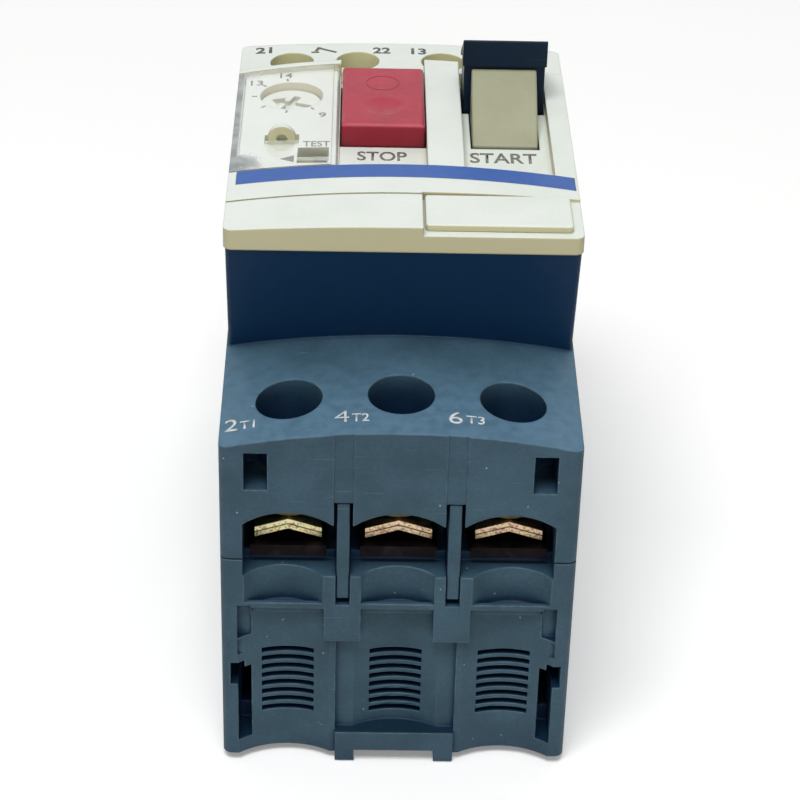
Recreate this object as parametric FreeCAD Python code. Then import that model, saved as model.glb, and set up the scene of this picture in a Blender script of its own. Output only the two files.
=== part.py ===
import FreeCAD, Part
import math
import os

# Motor protection switch lying on its back: X across the poles, +Y towards
# the line terminals, -Y towards the load terminals, +Z out of the front face.
# The origin is the middle of the back face. All sizes are in millimetres.

os.makedirs("parts", exist_ok=True)
V = FreeCAD.Vector

# Overall body
BODY_WIDTH = 44.5
BODY_LENGTH = 89.0
SEAM_Z = 32.2
SEAM_LINE = 0.25
WALL = 2.2
CORNER_RADIUS = 1.2
EDGE_RADIUS = 0.5
EDGE_CHAMFER = 0.4
RUN_GAP = 0.3
RUNNING_FIT = 0.05
FAR = 200.0
FACETS = 12
HALF_W = BODY_WIDTH / 2
HALF_L = BODY_LENGTH / 2

# Poles, evenly spread across the width
POLE_MARGIN = 1.475
POLE_PITCH = (BODY_WIDTH - 2 * POLE_MARGIN) / 3
POLE_X = [pole * POLE_PITCH for pole in (-1, 0, 1)]
RIB_X = [-POLE_PITCH / 2, POLE_PITCH / 2]

# Shoulders and nose of the upper housing
SHOULDER_Z = 50.9
SHOULDER_SLOPE = 3.5
SHOULDER_CROWN = 104.0
NOSE_SETBACK = 0.25
NOSE_WIDTH = BODY_WIDTH - 2 * NOSE_SETBACK
NOSE_HALF_IN = NOSE_WIDTH / 2 - WALL
NOSE_FRONT_LENGTH = 54.8
NOSE_ROOT_LENGTH = 45.2
NOSE_ROOT_Z = 49.9
NOSE_TOP_Z = 66.6
SCREW_SETBACK = 8.3
SCREW_Y = HALF_L - SCREW_SETBACK
SCREW_HOLE_DIA = 8.3
POCKET_SIDE_WALL = 2.8
POCKET_WIDTH = BODY_WIDTH - 2 * POCKET_SIDE_WALL
POCKET_DEPTH = 17.0
MOUTH_PIER = 2.65
POLE_OPENING = POLE_PITCH - MOUTH_PIER
ARCH_SPRING_Z = 37.3
ARCH_RISE = 1.85
SNAP_WINDOW_INSET = 4.5
SNAP_WINDOW_X = HALF_W - SNAP_WINDOW_INSET
SNAP_WINDOW_WIDTH = 2.9
SNAP_WINDOW_Z = (42.45, 47.8)
SNAP_WINDOW_DEPTH = 6.5
BAND_WIDTH = 2.4
BAND_DEPTH = 0.12
SHELF_RIB = 1.5

# Phase barriers
BARRIER_THICK = 1.6
BARRIER_Z = (26.0, 40.4)
BARRIER_SIDE_GAP = 0.38
BARRIER_POST_GAP = 0.1
BARRIER_TOP_GAP = 0.25
BARRIER_FOOT_GAP = 0.85

# Base housing
FLOOR_Z = 9.5
END_FLOOR_Z = 5.7
FLOOR_STEP_WALL = 1.4
CAVITY_END_WALL = 4.5
CAVITY_END_Y = HALF_L - CAVITY_END_WALL
CAVITY_HALF_W = HALF_W - WALL
LEDGE_Z = 30.9
LEDGE_THICK = 2.6
RIB_TOP_Z = 24.9
POST_WIDTH = 4.65
POST_Z = (19.5, 29.5)
SHELF_Z = 29.6
SHELF_DEPTH = 4.0
PLATE_INSET = 0.6
COLUMN_WIDTH = 3.85
PLATE_HALF_WIDTH = HALF_W - COLUMN_WIDTH
SCOOP_RADIUS = 10.5
SCOOP_DEPTH = 1.5
SCOOP_TOP_Z = 23.6
GUIDE_RADIUS = 6.2
GUIDE_DEPTH = 2.5
GUIDE_FLOOR_Z = 25.4
GUIDE_SINK = 1.0
GUIDE_BAR = 0.6
GUIDE_SHIFT = 0.5
GUIDE_SIDE = 0.95
MIDDLE_EXTRA = 1.55
MIDDLE_WIDTH = POLE_PITCH + MIDDLE_EXTRA
MIDDLE_INSET = 0.9
MIDDLE_FLOOR_Z = 4.64
OUTER_RAISE = 1.0
OUTER_RAISE_LENGTH = 8.0
LOUVRES = 8
LOUVRE_WIDTH = 6.7
LOUVRE_HEIGHT = 0.75
LOUVRE_PITCH = 1.34
LOUVRE_LOW_Z = 7.3
LOUVRE_MIDDLE_DROP = 0.63
SIDE_SLOT_INSET = 2.9
SIDE_SLOT_X = HALF_W - SIDE_SLOT_INSET
SIDE_SLOT_WIDTH = 1.7
SIDE_SLOT_Z = (3.2, 14.8)
SIDE_SLOT_DEPTH = 5.0
SIDE_NOTCH_WIDTH = 1.8
SIDE_NOTCH_Z = (12.4, 15.8)
CLIP_RECESS_Z = (19.75, 24.9)
CLIP_RECESS_DEPTH = 1.3
CLIP_STEP_Z = (17.15, 19.35)
CLIP_STEP_DEPTH = 0.5

# Rail channel and rail latch
RAIL_SEAT_Z = 7.5
RAIL_WIDTH = 35.0
RAIL_PLAY = 0.6
RAIL_FLANGE_SLOT = 1.5
RAIL_HOOK = 2.0
LATCH_WIDTH = 9.8
LATCH_Z = (0.6, 4.0)
LATCH_WING = 1.4
LATCH_WING_Z = (2.6, 3.7)
LATCH_SETBACK = 3.0
LATCH_END_Y = HALF_L - LATCH_SETBACK
LATCH_TRAVEL = 3.5
LATCH_FOOT_WALL = 1.5
LATCH_BODY_END = LATCH_END_Y - LATCH_TRAVEL - LATCH_FOOT_WALL
LATCH_TAB_TOP_Z = 1.4
LATCH_WINDOW_WIDTH = 4.2
LATCH_WINDOW_EDGE = (6.2, 2.5)
LATCH_POST_SETBACK = (1.6, 0.5)
LATCH_POST_WIDTH = 3.2

# Terminal clamps
BAR_THICK = 1.5
BAR_SIDE_ROOM = 4.25
BAR_WIDTH = POLE_PITCH - BAR_SIDE_ROOM
BAR_SETBACK = 2.7
BAR_REACH = 17.5
BAR_INNER_Y = HALF_L - BAR_REACH
LEG_WIDTH = 2.5
LEG_OFFSET = 2.15
LEG_BOTTOM_Z = 15.0
WASHER_SIDE_ROOM = 5.45
WASHER_SIDE = POLE_PITCH - WASHER_SIDE_ROOM
WASHER_THICK = 0.7
WASHER_DROOP = 1.3
WASHER_BORE = 4.5
CLAMP_GAP = 0.3
STACK_GAP = 0.02
SCREW_DIA = 4.0
SCREW_LENGTH = 8.5
HEAD_DIA = 7.0
HEAD_HEIGHT = 2.4
SLOT_WIDTH = 1.0
SLOT_DEPTH = 1.2
SCREW_WELL_DIA = 5.4

# Current path and contacts
STRIP_WIDTH = 5.0
STRIP_THICK = 1.5
CONTACT_SPAN = (-1.5, 15.5)
FIXED_STRIP_Z = 17.3
LOAD_RISER_Y = -5.2
LINE_RISER_Y = 20.0
TIP_DIA = 4.0
TIP_HEIGHT = 1.2
CONTACT_GAP = 3.2
BRIDGE_THICK = 1.2
BRIDGE_OVERHANG = 2.0

# Contact carrier
CARRIER_OVERHANG = 3.65
CARRIER_WIDTH = 2 * (POLE_PITCH + CARRIER_OVERHANG)
CARRIER_Y = (4.5, 9.5)
CARRIER_WINDOW_HEIGHT = 4.0
CARRIER_BAR_HEIGHT = 3.1
CARRIER_SILL = 1.8
CARRIER_LEG = 1.2
POST_SIDE = (4.2, 3.6)
POST_TOP_Z = 55.0

# Arc chutes
CHUTE_Y = (2.2, 11.8)
CHUTE_HEIGHT = 9.8
CHUTE_GAP = 0.425
CHUTE_WIDTH = POLE_PITCH - BARRIER_THICK - 2 * CHUTE_GAP
CHEEK_THICK = 0.6
ARC_PLATES = 6
ARC_PLATE_THICK = 0.8

# Trip unit
COIL_Y = -15.0
COIL_RADIUS = 4.9
COIL_BORE = 2.3
COIL_HEIGHT = 9.0
YOKE_THICK = 1.5
YOKE_WIDTH = 8.0
YOKE_TOP_THICK = 1.2
PLUNGER_RADIUS = 1.9
PLUNGER_HEAD_RADIUS = 2.8
PLUNGER_HEAD = 1.0
PLUNGER_STROKE = 1.5
BIMETAL_THICK = 0.8
BIMETAL_WIDTH = 6.0
BIMETAL_LIP = 0.5
HEATER_SIZE = (4.4, 8.7)
HEATER_Z = (9.0, 20.0)
HEATER_TURNS = 5
HEATER_GROOVE = 0.5
SLIDE_THICK = 1.0
SLIDE_BAR_WIDTH = 3.0
SLIDE_ARM_WIDTH = 1.2
SLIDE_FINGER = 1.2
SLIDE_FINGER_REACH = 5.0

# Mechanism plate, trip lever and latch lever
PLATE_Z = 54.0
PLATE_THICK = 1.2
PLATE_Y = (-20.0, 16.5)
LEVER_WIDTH = 1.5
LEVER_SWING = 2.0
LEVER_Y = (-8.0, -6.0)
LEVER_PIVOT_Z = 50.0
LEVER_TOP_Z = 68.8
LEVER_HUB = 2.2
SHUTTER_Z = (65.4, 66.2)
SHUTTER_EDGE = 0.6
PIN_RADIUS = 1.0
TAB_THICK = 1.0
TAB_WIDTH = 4.4
TAB_EDGE = 2.0
LATCH_LEVER_X = (-4.4, 0.0)
LATCH_PIVOT = (-8.0, 58.5)
LATCH_ARM_TIP_Y = 4.0
LATCH_ARM_THICK = 1.5

# Front cover
COVER_WIDTH = BODY_WIDTH
COVER_NEAR_Y = -27.66
COVER_FAR_Y = 27.66
COVER_TOP_Z = 70.05
COVER_CROWN = 310.0
FACE_ARC = 150.0
AUX_ARC = 90.0
AUX_SPLIT_Y = 21.9
AUX_STEP = 0.3
FAR_RIM = 1.2
BLUE_BAND_Y = (-14.0, -10.4)
BLUE_BAND_MARGIN = (1.05, 0.35)
BLUE_BAND_X = (-HALF_W + BLUE_BAND_MARGIN[0], HALF_W - BLUE_BAND_MARGIN[1])
BLUE_BAND_THICK = 0.25
PANEL_LINE_Y = -18.6
PANEL_LINE = 0.35
TAG_MARGIN = 1.35
TAG_X = (2.65, HALF_W - TAG_MARGIN)
TAG_Y = (-26.4, -18.3)
TAG_SEAT_Z = 68.9
TAG_THICK = 0.95
CHANNEL_FLOOR_Z = 67.8
CHANNEL_GAP = 0.25
START_CHANNEL_GAP = 0.15
SKIRT_THICK = 1.1
SKIRT_Z = 64.4

# Dial window
WINDOW_FLOOR_Z = 68.0
WINDOW_BOTTOM_Z = 68.3
WINDOW_SKIRT = 0.8
WINDOW_SKIRT_Z = 67.1
HINGE_OFFSET = 0.95
HINGE_Z = 69.2
HINGE_RADIUS = 0.6
HINGE_PIP = 0.8
HINGE_PIP_RADIUS = 0.3
TEST_SLOT_OFFSET = (4.65, 0.75)
LEVER_INSET = 0.95
TEST_SLOT_Y = (-8.3, -5.6)
LUG_OFFSET = 6.8
LUG_Y = -2.5
LUG_RADIUS = 1.85
LUG_THICK = 0.9
LUG_HEIGHT = 3.4
LUG_HOLE = 0.7
LUG_SLOT_GAP = 0.4

# Setting dial
DIAL_WALL_ROOM = 5.0
DIAL_X = -NOSE_HALF_IN + DIAL_WALL_ROOM
DIAL_Y = 11.8
DIAL_HOLE = 4.25
DIAL_RADIUS = 4.05
DIAL_TOP_Z = 66.9
DIAL_THICK = 2.0
DIAL_SHAFT = 2.0
DIAL_SHAFT_BOTTOM_Z = 52.6
DIAL_COLLAR = 3.0
ARROW_REACH = 2.9
ARROW_HEAD = 1.3
ARROW_WIDTH = 0.95
ARROW_DEPTH = 0.7
ARROW_ANGLE = -25

# Push buttons
STOP_X = (-8.0, 2.95)
STOP_Y = (-1.0, 16.8)
STOP_Z = (63.5, 71.1)
STOP_WALL = 1.4
STOP_STEM_Y = 9.5
STOP_STEM_RADIUS = 1.5
STOP_STEM_Z = 58.0
STOP_COLLAR_RADIUS = 2.9
STOP_COLLAR_Z = 61.5
STOP_FINGER_Y = (1.5, 3.5)
STOP_FINGER_WIDTH = 1.9
STOP_FINGER_Z = 60.3
DIMPLE_RADIUS = 9.0
DIMPLE_DEPTH = 0.4
DIMPLE_Y = 4.6
START_INSET = (14.2, 2.95)
START_X = (HALF_W - START_INSET[0], HALF_W - START_INSET[1])
START_CAP_Y = (9.4, 17.4)
START_CAP_Z = (74.8, 78.5)
START_CAP_BACK_Z = (72.8, 73.6)
START_CREST = 0.3
START_LIP = 4.8
START_NECK_INSET = 0.5
START_NECK_SIDE = 0.2
START_FOOT_Z = (60.2, 62.0)
RAMP_INSET = (1.2, 1.35)
RAMP_X = (START_X[0] + RAMP_INSET[0], START_X[1] - RAMP_INSET[1])
RAMP_NEAR_Y = -0.4
RAMP_TOP_Z = 74.3
START_STEM_Y = 7.0
START_STEM_RADIUS = 1.6
START_STEM_Z = 57.2
START_BORE = 3.2
START_BORE_TOP_Z = 70.0
BUTTON_GAP = 0.2

# Auxiliary contact block
AUX_MID_X = -0.1
AUX_INNER_X = 5.9
AUX_OUTER_ROOM = 4.8
AUX_SCREW_Y = 21.8
AUX_HOLE_DIA = 6.0
AUX_BODY_Y = 18.0
AUX_BODY_Z = 58.0
AUX_BODY_ROOM = 1.3
AUX_BODY_WIDTH = 2 * (NOSE_HALF_IN - AUX_BODY_ROOM)
AUX_TONGUE_Y = 18.3
AUX_POCKET_WIDTH = 5.8
AUX_POCKET_Z = 60.4
AUX_PLATE_THICK = 0.8
AUX_BACK_WALL = 1.2
AUX_HEAD_DIA = 4.0
AUX_HEAD_HEIGHT = 1.6
AUX_WASHER_SIDE = 4.8
AUX_WASHER_THICK = 0.7
AUX_SHANK_DIA = 2.6
AUX_SHANK_REACH = 0.8
AUX_WELL_DEPTH = 1.1
AUX_WIRE_HOLE = (3.6, 3.0)

# Springs
SPRING_WIRE = 0.5
START_SPRING_RADIUS = 2.4
START_SPRING_TURNS = 6
STOP_SPRING_RADIUS = 2.2
STOP_SPRING_TURNS = 4
LATCH_SPRING_RADIUS = 1.1
LATCH_SPRING_TURNS = 6
CONTACT_SPRING_RADIUS = 1.5
CONTACT_SPRING_TURNS = 3
SMALL_WIRE = 0.4
SPRING_STEPS = 8

# Values that follow from the sizes above
BAR_TOP_Z = LEDGE_Z + BAR_THICK
BAR_FRONT_Y = HALF_L - BAR_SETBACK
WASHER_LOW_Z = BAR_TOP_Z + CLAMP_GAP
HEAD_LOW_Z = WASHER_LOW_Z + WASHER_DROOP + 2 * WASHER_THICK + 2 * STACK_GAP
LEDGE_INNER_Y = BAR_INNER_Y + BAR_THICK + RUN_GAP
PLATE_TOP_Z = PLATE_Z + PLATE_THICK
TIP_TOP_Z = FIXED_STRIP_Z + STRIP_THICK + TIP_HEIGHT
BRIDGE_Z = TIP_TOP_Z + CONTACT_GAP + TIP_HEIGHT
CARRIER_BAR_Z = BRIDGE_Z + CARRIER_WINDOW_HEIGHT
START_MID_X = (RAMP_X[0] + RAMP_X[1]) / 2
STOP_MID_X = (STOP_X[0] + STOP_X[1]) / 2
RAIL_HALF = (RAIL_WIDTH + RAIL_PLAY) / 2
LATCH_WINDOW_Y = (RAIL_HALF + LATCH_WINDOW_EDGE[0], LATCH_BODY_END - LATCH_WINDOW_EDGE[1])
LATCH_POST_Y = (LATCH_WINDOW_Y[1] - LATCH_POST_SETBACK[0], LATCH_WINDOW_Y[1] - LATCH_POST_SETBACK[1])
FLOOR_STEP_Y = RAIL_HALF + LATCH_TRAVEL + RUN_GAP + FLOOR_STEP_WALL
BIMETAL_TOP_Z = RIB_TOP_Z + SLIDE_THICK + BIMETAL_LIP
STOP_CHANNEL_X = (STOP_X[0] - CHANNEL_GAP, STOP_X[1] + CHANNEL_GAP)
START_CHANNEL_X = (START_X[0] - START_CHANNEL_GAP, START_X[1] + START_CHANNEL_GAP)
HINGE_X = STOP_X[0] - HINGE_OFFSET
TEST_SLOT_X = (HINGE_X - TEST_SLOT_OFFSET[0], HINGE_X - TEST_SLOT_OFFSET[1])
LEVER_X = TEST_SLOT_X[1] - LEVER_INSET
LUG_X = HINGE_X - LUG_OFFSET
AUX_OUTER_X = NOSE_HALF_IN - AUX_OUTER_ROOM
AUX_SCREW_X = [AUX_MID_X + x for x in (-AUX_OUTER_X, -AUX_INNER_X, AUX_INNER_X, AUX_OUTER_X)]
AUX_HEAD_Z = AUX_POCKET_Z + AUX_PLATE_THICK + CLAMP_GAP + AUX_WASHER_THICK


# Shape helpers

def block(x, y, z):
    """Box between pairs of limits."""
    size = [pair[1] - pair[0] for pair in (x, y, z)]
    return Part.makeBox(*size, V(x[0], y[0], z[0]))


def around(centre, width):
    """Pair of limits lying evenly about a centre."""
    return (centre - width / 2, centre + width / 2)


def rod(radius, start, end):
    """Cylinder between two points."""
    axis = V(*end) - V(*start)
    return Part.makeCylinder(radius, axis.Length, V(*start), axis)


def prism(points, direction):
    """Closed outline of 3-D points pushed along a direction."""
    wire = Part.makePolygon([V(*p) for p in points] + [V(*points[0])])
    return Part.Face(wire).extrude(V(*direction))


def prism_x(outline, x):
    """YZ outline pushed along X."""
    return prism([(x[0], y, z) for y, z in outline], (x[1] - x[0], 0, 0))


def prism_y(outline, y):
    """XZ outline pushed along Y."""
    return prism([(x, y[0], z) for x, z in outline], (0, y[1] - y[0], 0))


def soften(shape, radius, chosen):
    """Round the edges whose middle point passes a test."""
    edges = [e for e in shape.Edges if chosen(e.CenterOfMass)]
    return shape.makeFillet(radius, edges)


def chamfer(shape, size, chosen):
    """Break the edges whose middle point passes a test."""
    edges = [e for e in shape.Edges if chosen(e.CenterOfMass)]
    return shape.makeChamfer(size, edges)


def faceted_rod(radius, start, height, facets=FACETS):
    """Upright many-sided rod for the small round pieces inside."""
    x, y, z = start
    turns = [2 * math.pi * i / facets for i in range(facets)]
    return prism([(x + radius * math.cos(t), y + radius * math.sin(t), z) for t in turns], (0, 0, height))


def rounded_block(x, y, z, radius):
    """Box with its four upright edges rounded."""
    middle = (z[0] + z[1]) / 2
    return soften(block(x, y, z), radius, lambda c: abs(c.z - middle) < 1e-3)


def join(shapes):
    """One solid out of several that touch."""
    return shapes[0].fuse(shapes[1:]).removeSplitter()


def cut_away(shape, tools):
    """Shape with every tool removed."""
    return shape.cut(tools).removeSplitter()


def swap_end(shape):
    """Mirror image at the other end of the switch."""
    return shape.mirror(V(0, 0, 0), V(0, 1, 0))


def swap_side(shape):
    """Mirror image at the other side of the switch."""
    return shape.mirror(V(0, 0, 0), V(1, 0, 0))


def both_ends(shapes):
    return shapes + [swap_end(s) for s in shapes]


def both_sides(shapes):
    return shapes + [swap_side(s) for s in shapes]


def at_poles(make):
    """One copy of a piece for each pole."""
    return [make(x) for x in POLE_X]


def export(name, shapes):
    """Write one node, either a single solid or a group of alike solids."""
    if isinstance(shapes, list):
        shapes = Part.makeCompound(shapes)
    shapes.exportStep("parts/" + name + ".step")


def coil_spring(radius, wire, turns, length, start, direction):
    """Helical spring with square wire, first turn lying on its start point."""
    half = wire / 2
    rise = length - wire
    sections = []
    for step in range(turns * SPRING_STEPS + 1):
        angle = 2 * math.pi * step / SPRING_STEPS
        z = half + rise * step / (turns * SPRING_STEPS)
        corners = []
        for out, up in ((-half, -half), (half, -half), (half, half), (-half, half)):
            reach = radius + out
            corners.append(V(reach * math.cos(angle), reach * math.sin(angle), z + up))
        sections.append(Part.makePolygon(corners + corners[:1]))
    spring = Part.makeLoft(sections, True, True)
    turn = FreeCAD.Rotation(V(0, 0, 1), V(*direction))
    spring.Placement = FreeCAD.Placement(V(*start), turn)
    return spring


# Upper housing

def nose_half(z, inset):
    """Half length of the nose at a height, drawn inwards by an inset."""
    lean = (NOSE_FRONT_LENGTH - NOSE_ROOT_LENGTH) / 2 / (NOSE_TOP_Z - NOSE_ROOT_Z)
    return NOSE_ROOT_LENGTH / 2 + max(0, z - NOSE_ROOT_Z) * lean - inset


def nose_body(inset, half_width, z):
    """Nose between two heights, its end walls leaning out towards the front."""
    heights = sorted({z[0], z[1], min(max(NOSE_ROOT_Z, z[0]), z[1])})
    side = [(nose_half(h, inset), h) for h in heights]
    outline = side + [(-y, h) for y, h in reversed(side)]
    return prism_x(outline, (-half_width, half_width))


def shoulder_waste():
    """Everything above the sloping, crowned shoulder at the load end."""
    tilt = math.radians(SHOULDER_SLOPE)
    start = V(0, -HALF_L, SHOULDER_Z - SHOULDER_CROWN / math.cos(tilt))
    along = V(0, math.cos(tilt), math.sin(tilt))
    crown = Part.makeCylinder(SHOULDER_CROWN, BODY_LENGTH, start - along * WALL, along)
    return block((-HALF_W, HALF_W), (-HALF_L, 0), (SEAM_Z, NOSE_TOP_Z)).cut(crown)


def terminal_pocket():
    """Wire pocket at the load end with an arched mouth and screw hole per pole."""
    deep = (-HALF_L - 1, -HALF_L + POCKET_DEPTH)
    half = POLE_OPENING / 2
    radius = (half ** 2 + ARCH_RISE ** 2) / (2 * ARCH_RISE)
    centre_z = ARCH_SPRING_Z + ARCH_RISE - radius
    tools = [block(around(0, POCKET_WIDTH), deep, (SEAM_Z - 1, ARCH_SPRING_Z))]
    tools.append(block(around(0, POCKET_WIDTH), (deep[0], 0), (SEAM_Z - 1, BAR_TOP_Z + RUN_GAP)))
    for x in POLE_X:
        arch = rod(radius, (x, deep[0], centre_z), (x, deep[1], centre_z))
        tools.append(arch.common(block(around(x, POLE_OPENING), deep, (SEAM_Z, FAR))))
        tools.append(rod(SCREW_HOLE_DIA / 2, (x, -SCREW_Y, ARCH_SPRING_Z), (x, -SCREW_Y, FAR)))
    return tools


def end_face_cuts():
    """Barrier slots, shallow bands and clip windows of the load end."""
    tools = []
    slot_top = BARRIER_Z[1] + BARRIER_TOP_GAP
    slot_width = BARRIER_THICK + 2 * BARRIER_SIDE_GAP
    for x in RIB_X:
        tools.append(block(around(x, slot_width), (-HALF_L - 1, -HALF_L + POCKET_DEPTH),
                           (SEAM_Z, slot_top)))
        tools.append(block(around(x, BAND_WIDTH), (-HALF_L - 1, -HALF_L + BAND_DEPTH),
                           (slot_top - 1, FAR)))
    window = block(around(SNAP_WINDOW_X, SNAP_WINDOW_WIDTH),
                   (-HALF_L - 1, -HALF_L + SNAP_WINDOW_DEPTH), SNAP_WINDOW_Z)
    return tools + both_sides([window])


def aux_wire_holes():
    """Small wire mouths of the auxiliary block through the line side of the nose."""
    low = AUX_POCKET_Z + AUX_PLATE_THICK
    return [block(around(x, AUX_WIRE_HOLE[0]), (AUX_SCREW_Y, HALF_L),
                  (low, low + AUX_WIRE_HOLE[1])) for x in AUX_SCREW_X]


def plate_shelf():
    """Rib inside one side wall that carries the mechanism plate."""
    return block((NOSE_HALF_IN - SHELF_RIB, NOSE_HALF_IN + WALL / 2),
                 (PLATE_Y[0], PLATE_Y[1]), (PLATE_Z - 2, PLATE_Z))


def upper_housing():
    body = rounded_block((-HALF_W, HALF_W), (-HALF_L, HALF_L), (SEAM_Z, NOSE_TOP_Z), CORNER_RADIUS)
    body = body.cut(both_ends([shoulder_waste()]))
    nose = nose_body(0, NOSE_WIDTH / 2, (NOSE_ROOT_Z - 6, NOSE_TOP_Z))
    nose = soften(nose, EDGE_RADIUS,
                  lambda c: abs(c.x) > 1 and NOSE_ROOT_Z < c.z < NOSE_TOP_Z - 1)
    shell = join([body, nose])
    cavity = nose_body(WALL, NOSE_HALF_IN, (SEAM_Z - 1, NOSE_TOP_Z + 1))
    shell = cut_away(shell, [cavity] + both_ends(terminal_pocket() + end_face_cuts())
                     + aux_wire_holes())
    return join([shell] + both_sides([plate_shelf()]))


# Phase barriers

def phase_barriers():
    plates = []
    for x in RIB_X:
        plates.append(block(around(x, BARRIER_THICK),
                            (-HALF_L + RUN_GAP, -HALF_L + POCKET_DEPTH - RUN_GAP), BARRIER_Z))
    return both_ends(plates)


# Base housing

def base_cavity():
    """Room for the current path, leaving the terminal ledges at both ends."""
    under = LEDGE_Z - LEDGE_THICK
    half = [(0, FLOOR_Z), (FLOOR_STEP_Y, FLOOR_Z), (FLOOR_STEP_Y, END_FLOOR_Z)]
    half += [(CAVITY_END_Y, END_FLOOR_Z), (CAVITY_END_Y, under), (LEDGE_INNER_Y, under)]
    half += [(LEDGE_INNER_Y, SEAM_Z + 1)]
    outline = half + [(-y, z) for y, z in reversed(half[1:])]
    return prism_x(outline, (-CAVITY_HALF_W, CAVITY_HALF_W))


def pole_ribs():
    """Walls between the poles that stand on the floor."""
    return [block(around(x, BARRIER_THICK), (-CAVITY_END_Y, CAVITY_END_Y),
                  (END_FLOOR_Z - 1, RIB_TOP_Z)) for x in RIB_X]


def post_x_limits():
    """Blocks either side of each barrier slot on the end face."""
    return [around(x, POST_WIDTH) for x in RIB_X]


def terminal_ledge_cuts():
    """Open top of the load end: ledge, wire shelf, wire guides and barrier slots."""
    front = (-HALF_L - 1, -HALF_L + SHELF_DEPTH)
    pocket = around(0, POCKET_WIDTH)
    tools = [block(pocket, (-HALF_L - 1, -LEDGE_INNER_Y + 1), (LEDGE_Z, SEAM_Z + 1))]
    tools.append(block(pocket, front, (SHELF_Z, SEAM_Z + 1)))
    guide_y = -HALF_L - GUIDE_RADIUS + GUIDE_DEPTH
    half_room = (POLE_PITCH - POST_WIDTH) / 2
    behind_bar = (-HALF_L + GUIDE_BAR, front[1])
    sunk_z = GUIDE_FLOOR_Z - GUIDE_SINK
    for side, x in zip((-1, 0, 1), POLE_X):
        room = (x - half_room + min(side, 0) * GUIDE_SIDE, x + half_room + max(side, 0) * GUIDE_SIDE)
        centre = (x + side * GUIDE_SHIFT, guide_y)
        guide = rod(GUIDE_RADIUS, (*centre, sunk_z), (*centre, SEAM_Z))
        tools.append(guide.common(block(room, front, (GUIDE_FLOOR_Z, SEAM_Z))))
        tools.append(guide.common(block(room, behind_bar, (sunk_z, GUIDE_FLOOR_Z))))
        tools.append(faceted_rod(SCREW_WELL_DIA / 2, (x, -SCREW_Y, END_FLOOR_Z + 1),
                                 SEAM_Z - END_FLOOR_Z))
    for x in RIB_X:
        wide = BARRIER_THICK + 2 * BARRIER_POST_GAP
        tight = BARRIER_THICK + 2 * RUNNING_FIT
        tools.append(block(around(x, wide), front, (BARRIER_Z[0] - BARRIER_FOOT_GAP, SEAM_Z + 1)))
        tools.append(block(around(x, tight), (-HALF_L, -LEDGE_INNER_Y + 1),
                           (BARRIER_Z[0], SEAM_Z + 1)))
    return tools


def louvre(x, z):
    """One vent slot through the end wall."""
    reach = (-HALF_L - 1, -CAVITY_END_Y + 1)
    return block(around(x, LOUVRE_WIDTH), reach, around(z, LOUVRE_HEIGHT))


def louvres():
    slots = []
    for x, drop in zip(POLE_X, (0, LOUVRE_MIDDLE_DROP, 0)):
        slots += [louvre(x, LOUVRE_LOW_Z - drop + row * LOUVRE_PITCH) for row in range(LOUVRES)]
    return slots


def end_plate_cuts():
    """Set-back plates with hollow channels below the wire guides."""
    plate_y = -HALF_L + PLATE_INSET
    mid_y = plate_y + MIDDLE_INSET
    front = -HALF_L - 1
    half_mid = MIDDLE_WIDTH / 2
    posts = [block(x, (front, plate_y + FAR), POST_Z) for x in post_x_limits()]
    keep = block(around(0, MIDDLE_WIDTH), (front, 0), (0, MIDDLE_FLOOR_Z))
    face = block((-PLATE_HALF_WIDTH, PLATE_HALF_WIDTH), (front, plate_y), (-1, SCOOP_TOP_Z + 1))
    middle = block((-half_mid, half_mid), (front, mid_y), (MIDDLE_FLOOR_Z, POST_Z[0]))
    tools = [face.cut(posts + [keep]), middle]
    for x in POLE_X:
        surface = mid_y if x == 0 else plate_y
        low, high = (MIDDLE_FLOOR_Z, SCOOP_TOP_Z) if x == 0 else (-1, SCOOP_TOP_Z)
        centre = surface - SCOOP_RADIUS + SCOOP_DEPTH
        scoop = rod(SCOOP_RADIUS, (x, centre, low), (x, centre, high))
        tools.append(scoop.cut(posts))
    return tools


def side_clip_cuts():
    """Clip slots in the outer columns of the load end."""
    front = -HALF_L - 1
    slot = block(around(SIDE_SLOT_X, SIDE_SLOT_WIDTH), (front, -HALF_L + SIDE_SLOT_DEPTH), SIDE_SLOT_Z)
    notch_x = (SIDE_SLOT_X, SIDE_SLOT_X + SIDE_NOTCH_WIDTH)
    notch = block(notch_x, (front, -HALF_L + SIDE_SLOT_DEPTH), SIDE_NOTCH_Z)
    wide = around(SIDE_SLOT_X, SIDE_SLOT_WIDTH)
    recess = block(wide, (front, -HALF_L + CLIP_RECESS_DEPTH), CLIP_RECESS_Z)
    step = block(wide, (front, -HALF_L + CLIP_STEP_DEPTH), CLIP_STEP_Z)
    return both_sides([slot, notch, recess, step])


def rail_channel():
    """Room for a 35 mm rail across the back, with a fixed hook on the line side."""
    wide = (-FAR, FAR)
    slot = (RAIL_SEAT_Z - RAIL_FLANGE_SLOT, RAIL_SEAT_Z)
    return [block(wide, (-RAIL_HALF, RAIL_HALF - RAIL_HOOK), (-1, RAIL_SEAT_Z)),
            block(wide, (-RAIL_HALF, RAIL_HALF), slot)]


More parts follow.
